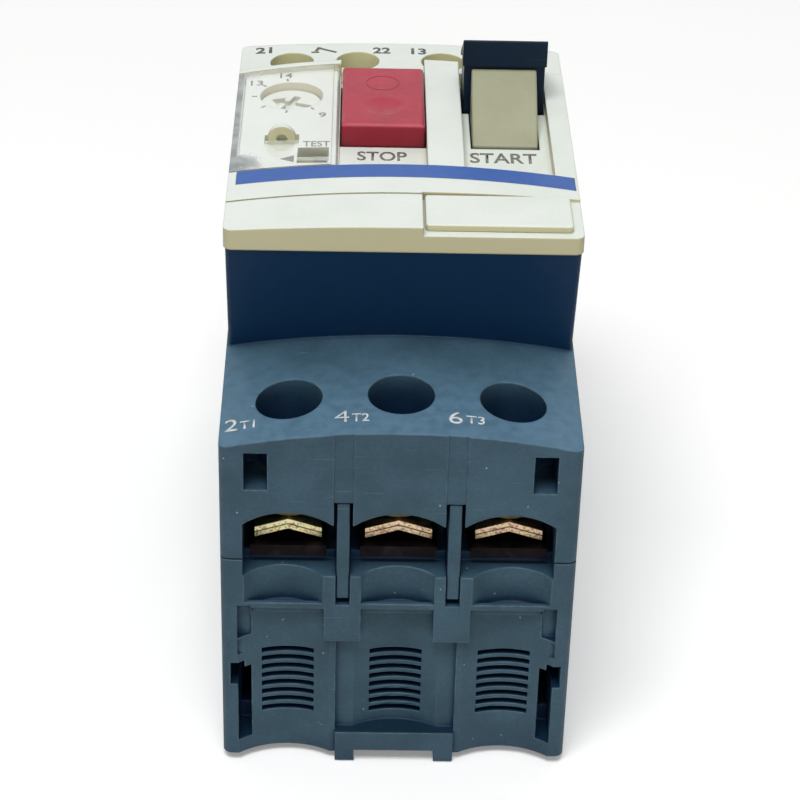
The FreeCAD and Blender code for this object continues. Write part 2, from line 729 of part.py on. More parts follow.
def latch_channel():
    """Grooved channel in which the rail latch slides."""
    width = around(0, LATCH_WIDTH + 2 * RUN_GAP)
    wings = around(0, LATCH_WIDTH + 2 * LATCH_WING + 2 * RUN_GAP)
    reach = (-LATCH_BODY_END - LATCH_TRAVEL - RUN_GAP, 0)
    room = block(width, reach, (-1, LATCH_Z[1] + RUN_GAP))
    groove = block(wings, reach, (LATCH_WING_Z[0] - RUN_GAP, LATCH_WING_Z[1] + RUN_GAP))
    post = block(around(0, LATCH_POST_WIDTH), (-LATCH_POST_Y[1], -LATCH_POST_Y[0]),
                 (LATCH_Z[0], LATCH_Z[1] + RUN_GAP))
    notch = block(width, (-HALF_L - 1, -LATCH_BODY_END), (-1, LATCH_TAB_TOP_Z + RUN_GAP))
    lip = block(width, (-RAIL_HALF - LATCH_TRAVEL - RUN_GAP, 0), (0, RAIL_SEAT_Z - RAIL_FLANGE_SLOT))
    return [room.cut([post]), groove.cut([post]), notch, lip]


def outer_raise():
    """Outer corners that stand clear of the panel at the load end."""
    return both_sides([block((MIDDLE_WIDTH / 2, FAR), (-HALF_L - 1, -HALF_L + OUTER_RAISE_LENGTH),
                             (-1, OUTER_RAISE))])


def parting_groove():
    """Fine step round the top edge of the base, seen as a dark line along the seam."""
    z = (SEAM_Z - SEAM_LINE, SEAM_Z + 1)
    half_w = HALF_W - SEAM_LINE
    half_l = HALF_L - SEAM_LINE
    kept = rounded_block((-half_w, half_w), (-half_l, half_l), z, CORNER_RADIUS - SEAM_LINE)
    return block((-HALF_W - 1, HALF_W + 1), (-HALF_L - 1, HALF_L + 1), z).cut(kept)


def base_housing():
    body = rounded_block((-HALF_W, HALF_W), (-HALF_L, HALF_L), (0, SEAM_Z), CORNER_RADIUS)
    body = cut_away(body, [base_cavity()])
    body = join([body] + pole_ribs())
    ends = terminal_ledge_cuts() + end_plate_cuts() + side_clip_cuts() + louvres() + outer_raise()
    return cut_away(body, both_ends(ends) + rail_channel() + latch_channel() + [parting_groove()])


# Rail latch

def rail_latch():
    """Sliding latch with a hooked nose, side wings and a window for its spring."""
    nose_y = -RAIL_HALF + RAIL_HOOK
    body = block(around(0, LATCH_WIDTH), (-LATCH_BODY_END, -RAIL_HALF - RUN_GAP), LATCH_Z)
    tab = block(around(0, LATCH_WIDTH), (-LATCH_END_Y, -LATCH_BODY_END), (LATCH_Z[0], LATCH_TAB_TOP_Z))
    wings = block(around(0, LATCH_WIDTH + 2 * LATCH_WING), (-LATCH_BODY_END, -RAIL_HALF - RUN_GAP),
                  LATCH_WING_Z)
    high = RAIL_SEAT_Z - RAIL_FLANGE_SLOT - RUN_GAP
    outline = [(-RAIL_HALF - 2, LATCH_Z[0]), (-RAIL_HALF, LATCH_Z[0]), (nose_y, LATCH_Z[1] - 1)]
    outline += [(nose_y, LATCH_Z[1]), (-RAIL_HALF - 2, LATCH_Z[1])]
    nose = prism_x(outline, around(0, LATCH_WIDTH))
    lip = block(around(0, LATCH_WIDTH), (-RAIL_HALF + RUN_GAP, nose_y), (LATCH_Z[1] - 1, high))
    window = block(around(0, LATCH_WINDOW_WIDTH), (-LATCH_WINDOW_Y[1], -LATCH_WINDOW_Y[0]), (0, FAR))
    pull = block(around(0, LATCH_WINDOW_WIDTH), (-LATCH_END_Y + 1.6, -LATCH_END_Y + 3), (0, FAR))
    return cut_away(join([body, tab, wings, nose, lip]), [window, pull])


def rail_latch_spring():
    length = LATCH_POST_Y[0] - LATCH_WINDOW_Y[0]
    middle = (LATCH_Z[0] + LATCH_Z[1]) / 2
    return coil_spring(LATCH_SPRING_RADIUS, SMALL_WIRE, LATCH_SPRING_TURNS, length,
                       (0, -LATCH_POST_Y[0], middle), (0, 1, 0))


# Terminal clamps, drawn at the load end

def clamp_screw(x):
    """Pan-head clamp screw with a cross slot."""
    head = rod(HEAD_DIA / 2, (x, -SCREW_Y, HEAD_LOW_Z), (x, -SCREW_Y, HEAD_LOW_Z + HEAD_HEIGHT))
    top = HEAD_LOW_Z + HEAD_HEIGHT
    shank = faceted_rod(SCREW_DIA / 2 - RUNNING_FIT, (x, -SCREW_Y, HEAD_LOW_Z - SCREW_LENGTH),
                        SCREW_LENGTH + 1)
    arm = HEAD_DIA * 0.7
    deep = (top - SLOT_DEPTH, top + 1)
    slots = [block(around(x, arm), around(-SCREW_Y, SLOT_WIDTH), deep),
             block(around(x, SLOT_WIDTH), around(-SCREW_Y, arm), deep)]
    return cut_away(join([head, shank]), slots)


def clamp_washer(x, z):
    """Roof-shaped pressure plate, ridge along the wire."""
    half = WASHER_SIDE / 2
    low = [(x - half, z), (x, z + WASHER_DROOP), (x + half, z)]
    high = [(px, pz + WASHER_THICK) for px, pz in reversed(low)]
    plate = prism_y(low + high, around(-SCREW_Y, WASHER_SIDE))
    return plate.cut(faceted_rod(WASHER_BORE / 2, (x, -SCREW_Y, z - 1), WASHER_DROOP + 3))


def clamp_washers(x):
    return [clamp_washer(x, WASHER_LOW_Z),
            clamp_washer(x, WASHER_LOW_Z + WASHER_THICK + STACK_GAP)]


def terminal_plate(x, inner_y):
    """Flat terminal with its threaded hole, at the load end."""
    plate = block(around(x, BAR_WIDTH), (-BAR_FRONT_Y, -inner_y), (LEDGE_Z, BAR_TOP_Z))
    return plate.cut(faceted_rod(SCREW_DIA / 2, (x, -SCREW_Y, LEDGE_Z - 1), BAR_THICK + 2))


def load_bar(x):
    """Load terminal with a narrow leg down to the heater."""
    leg_y = (-BAR_INNER_Y - BAR_THICK, -BAR_INNER_Y)
    leg = block(around(x - LEG_OFFSET, LEG_WIDTH), leg_y, (LEG_BOTTOM_Z, BAR_TOP_Z))
    return join([terminal_plate(x, BAR_INNER_Y), leg])


def contact_tip(x, y, z):
    return faceted_rod(TIP_DIA / 2, (x, y, z), TIP_HEIGHT)


def line_bar(x):
    """Line terminal running down to the fixed contact of its pole."""
    inner = CONTACT_SPAN[1] - TIP_DIA / 2
    wide = around(x, STRIP_WIDTH)
    run = block(wide, (LINE_RISER_Y, BAR_INNER_Y + 1), (LEDGE_Z, BAR_TOP_Z))
    riser = block(wide, (LINE_RISER_Y, LINE_RISER_Y + STRIP_THICK), (FIXED_STRIP_Z, BAR_TOP_Z))
    foot = block(wide, (inner, LINE_RISER_Y + STRIP_THICK),
                 (FIXED_STRIP_Z, FIXED_STRIP_Z + STRIP_THICK))
    tip = contact_tip(x, CONTACT_SPAN[1], FIXED_STRIP_Z + STRIP_THICK)
    return join([swap_end(terminal_plate(x, BAR_INNER_Y)), run, riser, foot, tip])


# Contacts

def load_fixed_contact(x):
    """Fixed contact standing on the floor beside the trip coil."""
    wide = around(x, STRIP_WIDTH)
    riser = block(wide, (LOAD_RISER_Y, LOAD_RISER_Y + STRIP_THICK), (FLOOR_Z, FIXED_STRIP_Z + 1))
    top = block(wide, (LOAD_RISER_Y, CONTACT_SPAN[0] + TIP_DIA / 2),
                (FIXED_STRIP_Z, FIXED_STRIP_Z + STRIP_THICK))
    return join([riser, top, contact_tip(x, CONTACT_SPAN[0], FIXED_STRIP_Z + STRIP_THICK)])


def moving_contact(x):
    """Bridge with a tip at each end."""
    limits = (CONTACT_SPAN[0] - BRIDGE_OVERHANG, CONTACT_SPAN[1] + BRIDGE_OVERHANG)
    strip = block(around(x, STRIP_WIDTH), limits, (BRIDGE_Z, BRIDGE_Z + BRIDGE_THICK))
    return join([strip] + [contact_tip(x, y, BRIDGE_Z - TIP_HEIGHT) for y in CONTACT_SPAN])


def contact_spring(x):
    middle = (CARRIER_Y[0] + CARRIER_Y[1]) / 2
    return coil_spring(CONTACT_SPRING_RADIUS, SMALL_WIRE, CONTACT_SPRING_TURNS,
                       CARRIER_WINDOW_HEIGHT - BRIDGE_THICK,
                       (x, middle, BRIDGE_Z + BRIDGE_THICK), (0, 0, 1))


def contact_carrier():
    """Cross bar with a window for each bridge and a post towards the start button."""
    bar = block(around(0, CARRIER_WIDTH), CARRIER_Y, (CARRIER_BAR_Z, CARRIER_BAR_Z + CARRIER_BAR_HEIGHT))
    pieces = [bar]
    inner = STRIP_WIDTH + 2 * RUN_GAP
    for x in POLE_X:
        outer = block(around(x, inner + 2 * CARRIER_LEG), CARRIER_Y,
                      (BRIDGE_Z - CARRIER_SILL, CARRIER_BAR_Z))
        hole = block(around(x, inner), (CARRIER_Y[0] - 1, CARRIER_Y[1] + 1), (BRIDGE_Z, CARRIER_BAR_Z))
        pieces.append(outer.cut(hole))
    pieces.append(block(around(START_MID_X, POST_SIDE[0]), around(START_STEM_Y, POST_SIDE[1]),
                        (CARRIER_BAR_Z, POST_TOP_Z)))
    return join(pieces)


# Arc chutes

def arc_holder(x):
    """Fibre tray that holds the arc plates by their edges."""
    tray = block(around(x, CHUTE_WIDTH), CHUTE_Y, (FLOOR_Z, FLOOR_Z + CHUTE_HEIGHT))
    room = block(around(x, CHUTE_WIDTH - 2 * CHEEK_THICK), (CHUTE_Y[0] - 1, CHUTE_Y[1] + 1),
                 (FLOOR_Z + CHEEK_THICK, FAR))
    return tray.cut(room)


def arc_plates(x):
    """Steel plates stacked between the cheeks, each with a notch for the arc."""
    pitch = (CHUTE_HEIGHT - CHEEK_THICK) / ARC_PLATES
    plates = []
    for row in range(ARC_PLATES):
        low = FLOOR_Z + CHEEK_THICK + row * pitch + pitch / 2 - ARC_PLATE_THICK / 2
        plate = block(around(x, CHUTE_WIDTH - 2 * CHEEK_THICK), CHUTE_Y, (low, low + ARC_PLATE_THICK))
        notch = block(around(x, TIP_DIA), (CHUTE_Y[0] - 1, CHUTE_Y[0] + TIP_DIA / 2), (low - 1, low + 2))
        plates.append(plate.cut(notch))
    return plates


# Trip unit

def trip_coil(x):
    low = FLOOR_Z + YOKE_THICK
    outer = faceted_rod(COIL_RADIUS, (x, COIL_Y, low), COIL_HEIGHT, 2 * FACETS)
    return outer.cut(faceted_rod(COIL_BORE, (x, COIL_Y, low - 1), COIL_HEIGHT + 2))


def coil_yoke(x):
    """Steel bracket under, behind and over the coil."""
    low = FLOOR_Z + YOKE_THICK
    high = low + COIL_HEIGHT
    back = COIL_Y - COIL_RADIUS
    wide = around(x, YOKE_WIDTH)
    front = COIL_Y + COIL_RADIUS
    foot = block(wide, (back - YOKE_TOP_THICK, front), (FLOOR_Z, low))
    wall = block(wide, (back - YOKE_TOP_THICK, back), (FLOOR_Z, high + YOKE_TOP_THICK))
    top = block(wide, (back - YOKE_TOP_THICK, front), (high, high + YOKE_TOP_THICK))
    hole = faceted_rod(PLUNGER_RADIUS + RUNNING_FIT, (x, COIL_Y, high - 1), YOKE_TOP_THICK + 2)
    return cut_away(join([foot, wall, top]), [hole])


def trip_plunger(x):
    """Iron plunger with a striker head, free to drop into the coil."""
    top = FLOOR_Z + YOKE_THICK + COIL_HEIGHT + YOKE_TOP_THICK
    head_z = top + PLUNGER_STROKE + RUN_GAP
    low = FLOOR_Z + YOKE_THICK + PLUNGER_STROKE + RUN_GAP
    shaft = faceted_rod(PLUNGER_RADIUS, (x, COIL_Y, low), head_z - low)
    return join([shaft, faceted_rod(PLUNGER_HEAD_RADIUS, (x, COIL_Y, head_z), PLUNGER_HEAD)])


def heater_y():
    """Middle of the heater, which lies against the leg of the load terminal."""
    return -BAR_INNER_Y - BAR_THICK - HEATER_SIZE[1] / 2


def bimetal(x):
    return block(around(x, BIMETAL_THICK), around(heater_y(), BIMETAL_WIDTH), (END_FLOOR_Z, BIMETAL_TOP_Z))


def heater(x):
    """Flat winding around the bimetal, its turns parted by grooves."""
    y = heater_y()
    body = block(around(x, HEATER_SIZE[0]), around(y, HEATER_SIZE[1]), HEATER_Z)
    body = body.cut(block(around(x, BIMETAL_THICK + 2 * RUNNING_FIT),
                          around(y, BIMETAL_WIDTH + 2 * RUNNING_FIT), (0, FAR)))
    pitch = (HEATER_Z[1] - HEATER_Z[0]) / HEATER_TURNS
    core = block(around(x, HEATER_SIZE[0] - 2 * HEATER_GROOVE),
                 around(y, HEATER_SIZE[1] - 2 * HEATER_GROOVE), (0, FAR))
    for turn in range(1, HEATER_TURNS):
        z = HEATER_Z[0] + turn * pitch
        ring = block(around(x, HEATER_SIZE[0] + 1), around(y, HEATER_SIZE[1] + 1), around(z, HEATER_GROOVE))
        body = body.cut(ring.cut(core))
    return body


def trip_slide():
    """Comb on top of the ribs, pushed sideways by the bimetals or the trip lever."""
    z = (RIB_TOP_Z, RIB_TOP_Z + SLIDE_THICK)
    bar_y = (-BAR_INNER_Y + RUN_GAP, -BAR_INNER_Y + RUN_GAP + SLIDE_BAR_WIDTH)
    finger_x = BIMETAL_THICK / 2 + RUN_GAP
    last = POLE_X[2] + finger_x + SLIDE_FINGER
    pieces = [block((POLE_X[0] + finger_x, last), bar_y, z)]
    for x in POLE_X:
        pieces.append(block((x + finger_x, x + finger_x + SLIDE_FINGER),
                            (bar_y[0] - SLIDE_FINGER_REACH, bar_y[1]), z))
    arm_x = LEVER_X + LEVER_WIDTH / 2 + RUN_GAP
    pieces.append(block((arm_x, arm_x + SLIDE_ARM_WIDTH), (bar_y[0], LEVER_Y[1] + 0.5), z))
    return join(pieces)


# Mechanism plate and levers

def lever_tab_y():
    """The two ears beside the trip lever."""
    near = (LEVER_Y[0] - RUN_GAP - TAB_THICK, LEVER_Y[0] - RUN_GAP)
    far = (LEVER_Y[1] + RUN_GAP, LEVER_Y[1] + RUN_GAP + TAB_THICK)
    return near, far


def latch_tab_x():
    """The two ears beside the latch lever."""
    left = (LATCH_LEVER_X[0] - RUN_GAP - TAB_THICK, LATCH_LEVER_X[0] - RUN_GAP)
    right = (LATCH_LEVER_X[1] + RUN_GAP, LATCH_LEVER_X[1] + RUN_GAP + TAB_THICK)
    return left, right


def trip_lever_pin():
    near, far = lever_tab_y()
    return rod(PIN_RADIUS, (LEVER_X, near[0] - 0.4, LEVER_PIVOT_Z), (LEVER_X, far[1] + 0.4, LEVER_PIVOT_Z))


def latch_pin():
    left, right = latch_tab_x()
    y, z = LATCH_PIVOT
    return rod(PIN_RADIUS, (left[0] - 0.4, y, z), (right[1] + 0.4, y, z))


def mechanism_plate():
    """Steel plate across the nose with ears for both levers and guide holes."""
    plate = block(around(0, 2 * (NOSE_HALF_IN - RUN_GAP)), PLATE_Y, (PLATE_Z, PLATE_TOP_Z))
    ears = []
    for tab_y in lever_tab_y():
        ears.append(block(around(LEVER_X, TAB_WIDTH), tab_y, (LEVER_PIVOT_Z - TAB_EDGE, PLATE_Z)))
    for tab_x in latch_tab_x():
        ears.append(block(tab_x, around(LATCH_PIVOT[0], TAB_WIDTH),
                          (PLATE_TOP_Z, LATCH_PIVOT[1] + TAB_EDGE)))
    deep = (PLATE_Z - 1, PLATE_TOP_Z + 1)
    gap = 2 * RUN_GAP
    holes = [trip_lever_pin(), latch_pin()]
    holes.append(block(around(LEVER_X - LEVER_SWING / 4, LEVER_WIDTH + LEVER_SWING),
                       (LEVER_Y[0] - RUN_GAP, LEVER_Y[1] + RUN_GAP), deep))
    holes.append(block((LATCH_LEVER_X[0] - RUN_GAP, LATCH_LEVER_X[1] + RUN_GAP),
                       (LATCH_PIVOT[0] + TAB_WIDTH / 2 + 2, LATCH_ARM_TIP_Y + gap), deep))
    holes.append(block(around(START_MID_X, POST_SIDE[0] + gap), around(START_STEM_Y, POST_SIDE[1] + gap),
                       deep))
    holes.append(faceted_rod(STOP_STEM_RADIUS + RUN_GAP, (STOP_MID_X, STOP_STEM_Y, deep[0]),
                             deep[1] - deep[0]))
    holes.append(rod(DIAL_SHAFT + RUNNING_FIT, (DIAL_X, DIAL_Y, deep[0]), (DIAL_X, DIAL_Y, deep[1])))
    return cut_away(join([plate] + ears), holes)


def trip_lever():
    """Upright lever: its top and shutter show in the test slot, its foot faces the trip slide."""
    foot = RIB_TOP_Z + RUN_GAP
    arm = block(around(LEVER_X, LEVER_WIDTH), LEVER_Y, (foot, LEVER_TOP_Z))
    hub = rod(LEVER_HUB, (LEVER_X, LEVER_Y[0], LEVER_PIVOT_Z), (LEVER_X, LEVER_Y[1], LEVER_PIVOT_Z))
    bore = rod(PIN_RADIUS + RUNNING_FIT, (LEVER_X, LEVER_Y[0] - 1, LEVER_PIVOT_Z),
               (LEVER_X, LEVER_Y[1] + 1, LEVER_PIVOT_Z))
    shutter_x = (TEST_SLOT_X[0] - SHUTTER_EDGE, TEST_SLOT_X[1] + SHUTTER_EDGE + LEVER_SWING / 2)
    shutter_y = (TEST_SLOT_Y[0] - SHUTTER_EDGE, TEST_SLOT_Y[1] + SHUTTER_EDGE)
    shutter = block(shutter_x, shutter_y, SHUTTER_Z)
    return cut_away(join([arm, hub, shutter]), [bore])


def latch_lever():
    """Lever pushed down by the stop button, with a short hooked tail."""
    y, z = LATCH_PIVOT
    arm = block(LATCH_LEVER_X, (y, LATCH_ARM_TIP_Y), (z - LATCH_ARM_THICK / 3, z + LATCH_ARM_THICK * 2 / 3))
    hub = rod(TAB_EDGE, (LATCH_LEVER_X[0], y, z), (LATCH_LEVER_X[1], y, z))
    tail = block(LATCH_LEVER_X, (y - TAB_WIDTH, y), (z - LATCH_ARM_THICK / 3, z + LATCH_ARM_THICK * 2 / 3))
    bore = rod(PIN_RADIUS + RUNNING_FIT, (LATCH_LEVER_X[0] - 1, y, z), (LATCH_LEVER_X[1] + 1, y, z))
    return cut_away(join([arm, hub, tail]), [bore])


# Front cover and its inserts

def bow(y, x, radius):
    """Y of a bowed line at X, given its Y in the middle."""
    return y - (radius - math.sqrt(radius ** 2 - x ** 2))


def bowed_edge(x, y, radius, z):
    """Arc across the face between two X limits."""
    middle = (x[0] + x[1]) / 2
    return Part.Arc(V(x[0], bow(y, x[0], radius), z), V(middle, bow(y, middle, radius), z),
                    V(x[1], bow(y, x[1], radius), z)).toShape()


def bowed_panel(x, near, far, z):
    """Upright panel whose near and far sides are (middle Y, arc radius) pairs."""
    sides = []
    for y, radius in (near, far):
        if radius:
            sides.append(bowed_edge(x, y, radius, z[0]))
        else:
            sides.append(Part.makeLine(V(x[0], y, z[0]), V(x[1], y, z[0])))
    corners = [[edge.Vertexes[0].Point, edge.Vertexes[1].Point] for edge in sides]
    corners = [sorted(pair, key=lambda p: p.x) for pair in corners]
    links = [Part.makeLine(corners[0][side], corners[1][side]) for side in (0, 1)]
    wire = Part.Wire(Part.__sortEdges__(sides + links))
    return Part.Face(wire).extrude(V(0, 0, z[1] - z[0]))


def crown(drop):
    """Crowned face of the cover, lowered by a drop."""
    centre = COVER_TOP_Z - COVER_CROWN
    return rod(COVER_CROWN - drop, (0, -HALF_L, centre), (0, HALF_L, centre))


def cover_skirt():
    """Locating ribs that drop into the mouth of the nose."""
    z = (SKIRT_Z, NOSE_TOP_Z + 0.5)
    outer = NOSE_HALF_IN - RUN_GAP
    left = block((-outer, -outer + SKIRT_THICK), (PLATE_Y[0], DIAL_Y), z)
    right = block((outer - SKIRT_THICK, outer), (PLATE_Y[0], RAMP_NEAR_Y), z)
    near_y = -nose_half(SKIRT_Z, WALL + RUN_GAP)
    near = block(around(0, AUX_BODY_WIDTH - 6), (near_y, near_y + SKIRT_THICK), z)
    return [left, right, near]


def seal_lug():
    """Eye through which the closed window is sealed."""
    y = around(LUG_Y, LUG_THICK)
    centre = WINDOW_FLOOR_Z + LUG_HEIGHT - LUG_RADIUS
    disc = rod(LUG_RADIUS, (LUG_X, y[0], centre), (LUG_X, y[1], centre))
    stem = block(around(LUG_X, 2 * LUG_RADIUS), y, (WINDOW_FLOOR_Z - 0.5, centre))
    hole = rod(LUG_HOLE, (LUG_X, y[0] - 1, centre), (LUG_X, y[1] + 1, centre))
    return join([disc, stem]).cut(hole)


def window_outline(inset, z):
    """Prism of the window field on the left of the face."""
    return bowed_panel((-COVER_WIDTH / 2, HINGE_X), (BLUE_BAND_Y[1] + inset, FACE_ARC),
                       (AUX_SPLIT_Y - FAR_RIM - inset, AUX_ARC), z)


def hinge_rod(radius, grow):
    """Hinge axis of the window between the band and the far rim."""
    near = bow(BLUE_BAND_Y[1], HINGE_X, FACE_ARC) + RUN_GAP
    far = bow(AUX_SPLIT_Y - FAR_RIM, HINGE_X, AUX_ARC) - RUN_GAP
    return rod(radius, (HINGE_X, near - grow, HINGE_Z), (HINGE_X, far + grow, HINGE_Z))


def cover_face_cuts():
    """Channels, fields and seats sunk into the crowned face."""
    high = COVER_TOP_Z + 5
    start = (BLUE_BAND_Y[1], FACE_ARC)
    rim = (AUX_SPLIT_Y - FAR_RIM, AUX_ARC)
    end = (AUX_SPLIT_Y + 1, AUX_ARC)
    left = -COVER_WIDTH / 2
    skirt = left + WINDOW_SKIRT + RUN_GAP
    tools = [bowed_panel(STOP_CHANNEL_X, start, end, (CHANNEL_FLOOR_Z, high)),
             bowed_panel(START_CHANNEL_X, start, end, (CHANNEL_FLOOR_Z, high)),
             bowed_panel((left - 1, STOP_CHANNEL_X[0]), start, rim, (WINDOW_FLOOR_Z, high)),
             bowed_panel((left - 1, skirt), start, rim, (WINDOW_SKIRT_Z - RUN_GAP, high))]
    band = bowed_panel(BLUE_BAND_X, (BLUE_BAND_Y[0], FACE_ARC), (BLUE_BAND_Y[1], FACE_ARC),
                       (NOSE_TOP_Z, high))
    tools.append(band.cut(crown(BLUE_BAND_THICK)))
    line = bowed_panel((left - 1, TAG_X[0] - RUN_GAP), (PANEL_LINE_Y, FACE_ARC),
                       (PANEL_LINE_Y + PANEL_LINE, FACE_ARC), (NOSE_TOP_Z, high))
    tools.append(line.cut(crown(PANEL_LINE)))
    tools.append(block((TAG_X[0] - RUN_GAP, HALF_W + 1), (COVER_NEAR_Y - 1, TAG_Y[1] + RUN_GAP),
                       (TAG_SEAT_Z, high)))
    return tools


def cover_holes():
    """Openings for the buttons, the dial, the test lever and the hinge pips."""
    low = SKIRT_Z
    high = COVER_TOP_Z + 5
    neck_x = (START_X[0] + START_NECK_SIDE, START_X[1] - START_NECK_SIDE)
    gap = BUTTON_GAP
    return [block((STOP_X[0] - gap, STOP_X[1] + gap), (STOP_Y[0] - gap, STOP_Y[1] + gap), (low, high)),
            block((neck_x[0] - gap, neck_x[1] + gap), (START_CAP_Y[0], START_CAP_Y[1] + gap), (low, high)),
            block((RAMP_X[0] - gap, RAMP_X[1] + gap), (RAMP_NEAR_Y - 0.8, START_CAP_Y[1]), (low, high)),
            rod(DIAL_HOLE, (DIAL_X, DIAL_Y, low), (DIAL_X, DIAL_Y, high)),
            block(TEST_SLOT_X, TEST_SLOT_Y, (low, high)),
            hinge_rod(HINGE_PIP_RADIUS + RUNNING_FIT, HINGE_PIP + RUN_GAP)]


def front_cover():
    half = COVER_WIDTH / 2
    z = (NOSE_TOP_Z, COVER_TOP_Z + 1)
    slab = bowed_panel((-half, half), (COVER_NEAR_Y, 0), (AUX_SPLIT_Y, AUX_ARC), z)
    slab = soften(slab, CORNER_RADIUS, lambda c: c.y < COVER_NEAR_Y + 1e-3 and abs(c.x) > half - 1e-3)
    slab = slab.common(crown(0))
    slab = join([slab] + cover_skirt())
    slab = cut_away(slab, cover_face_cuts() + cover_holes())
    return join([slab, seal_lug()])


def blue_band():
    strip = bowed_panel((BLUE_BAND_X[0] + RUNNING_FIT, BLUE_BAND_X[1] - RUNNING_FIT),
                        (BLUE_BAND_Y[0] + RUNNING_FIT, FACE_ARC), (BLUE_BAND_Y[1] - RUNNING_FIT, FACE_ARC),
                        (NOSE_TOP_Z, COVER_TOP_Z + 5))
    return strip.common(crown(0)).cut(crown(BLUE_BAND_THICK))


def marker_tag():
    return rounded_block(TAG_X, TAG_Y, (TAG_SEAT_Z, TAG_SEAT_Z + TAG_THICK), EDGE_RADIUS)


def dial_window():
    """Clear flap over the dial, hinged beside the stop button."""
    plate = window_outline(RUN_GAP, (WINDOW_SKIRT_Z, COVER_TOP_Z + 5)).common(crown(0))
    under = block((-COVER_WIDTH / 2 + WINDOW_SKIRT, FAR), (-FAR, FAR), (0, WINDOW_BOTTOM_Z))
    edge = block((HINGE_X - HINGE_RADIUS / 2, FAR), (-FAR, FAR), (0, FAR))
    slot = block(around(LUG_X, 2 * LUG_RADIUS + 2 * LUG_SLOT_GAP),
                 around(LUG_Y, LUG_THICK + 2 * LUG_SLOT_GAP), (0, FAR))
    test = block((TEST_SLOT_X[0], HINGE_X - HINGE_RADIUS), TEST_SLOT_Y, (0, FAR))
    plate = plate.cut([under, edge, slot, test])
    return join([plate, hinge_rod(HINGE_RADIUS, 0), hinge_rod(HINGE_PIP_RADIUS, HINGE_PIP)])


def setting_dial():
    """Dial with an arrow-shaped screwdriver slot on a stepped shaft."""
    low = DIAL_TOP_Z - DIAL_THICK
    head = rod(DIAL_RADIUS, (DIAL_X, DIAL_Y, low), (DIAL_X, DIAL_Y, DIAL_TOP_Z))
    shaft = rod(DIAL_SHAFT, (DIAL_X, DIAL_Y, DIAL_SHAFT_BOTTOM_Z), (DIAL_X, DIAL_Y, low))
    seat = PLATE_TOP_Z + RUNNING_FIT
    collar = faceted_rod(DIAL_COLLAR, (DIAL_X, DIAL_Y, seat), low - seat)
    deep = (DIAL_TOP_Z - ARROW_DEPTH, DIAL_TOP_Z + 1)
    half = ARROW_WIDTH / 2
    side = [(-ARROW_HEAD, ARROW_HEAD), (-ARROW_HEAD, half), (ARROW_REACH, half)]
    arrow = [(-ARROW_REACH, 0)] + side + [(x, -y) for x, y in reversed(side)]
    slot = prism([(DIAL_X + x, DIAL_Y + y, deep[0]) for x, y in arrow], (0, 0, deep[1] - deep[0]))
    cross = block(around(DIAL_X, ARROW_WIDTH), around(DIAL_Y, 1.5 * ARROW_REACH), deep)
    turn = V(DIAL_X, DIAL_Y, 0)
    for tool in (slot, cross):
        tool.rotate(turn, V(0, 0, 1), ARROW_ANGLE)
    return cut_away(join([head, shaft, collar]), [slot, cross])


# Push buttons

def stop_button():
    """Hollow red button with a thumb dimple, a spring stem and a latch finger."""
    shell = block(STOP_X, STOP_Y, STOP_Z)
    shell = chamfer(shell, EDGE_CHAMFER, lambda c: c.z > STOP_Z[1] - 1e-3)
    ceiling = STOP_Z[1] - STOP_WALL
    room = block((STOP_X[0] + STOP_WALL, STOP_X[1] - STOP_WALL),
                 (STOP_Y[0] + STOP_WALL, STOP_Y[1] - STOP_WALL), (STOP_Z[0] - 1, ceiling))
    ball = V(STOP_MID_X, DIMPLE_Y, STOP_Z[1] + DIMPLE_RADIUS - DIMPLE_DEPTH)
    shell = shell.cut([room, Part.makeSphere(DIMPLE_RADIUS, ball)])
    place = (STOP_MID_X, STOP_STEM_Y)
    root = ceiling + 0.5
    stem = faceted_rod(STOP_STEM_RADIUS, (*place, STOP_STEM_Z), root - STOP_STEM_Z)
    collar = faceted_rod(STOP_COLLAR_RADIUS, (*place, STOP_COLLAR_Z), root - STOP_COLLAR_Z)
    finger = block(around(STOP_MID_X, STOP_FINGER_WIDTH), STOP_FINGER_Y, (STOP_FINGER_Z, root))
    return join([shell, stem, collar, finger])


def stop_spring():
    return coil_spring(STOP_SPRING_RADIUS, SPRING_WIRE, STOP_SPRING_TURNS, STOP_COLLAR_Z - PLATE_TOP_Z,
                       (STOP_MID_X, STOP_STEM_Y, PLATE_TOP_Z), (0, 0, 1))


def start_centre():
    """Axis of the start spring inside the neck."""
    return START_MID_X, (START_CAP_Y[0] + START_CAP_Y[1]) / 2


def start_button():
    """Black cap sloping away from its crest, on a neck with a foot and a push stem."""
    front, back = START_CAP_Y
    lip = front + START_LIP
    low, top = START_CAP_Z
    outline = [(front, low), (front, top), (front + START_CREST, top), (back, START_CAP_BACK_Z[1])]
    outline += [(back, START_CAP_BACK_Z[0]), (lip, low)]
    cap = prism_x(outline, START_X)
    inset = START_NECK_INSET
    neck_x = (START_X[0] + START_NECK_SIDE, START_X[1] - START_NECK_SIDE)
    neck_y = (front + inset, back - inset)
    slope = [(neck_y[0], START_FOOT_Z[0]), (neck_y[0], low + inset), (lip, low + inset)]
    slope += [(neck_y[1], START_CAP_BACK_Z[0] + inset), (neck_y[1], START_FOOT_Z[0])]
    neck = prism_x(slope, neck_x)
    foot = block(RAMP_X, (RAMP_NEAR_Y + inset, neck_y[1]), START_FOOT_Z)
    stem = faceted_rod(START_STEM_RADIUS, (START_MID_X, START_STEM_Y, START_STEM_Z),
                       START_FOOT_Z[1] - START_STEM_Z)
    x, y = start_centre()
    low_bore = START_FOOT_Z[0] - 1
    bore = faceted_rod(START_BORE, (x, y, low_bore), START_BORE_TOP_Z - low_bore)
    return cut_away(join([cap, neck, foot, stem]), [bore])


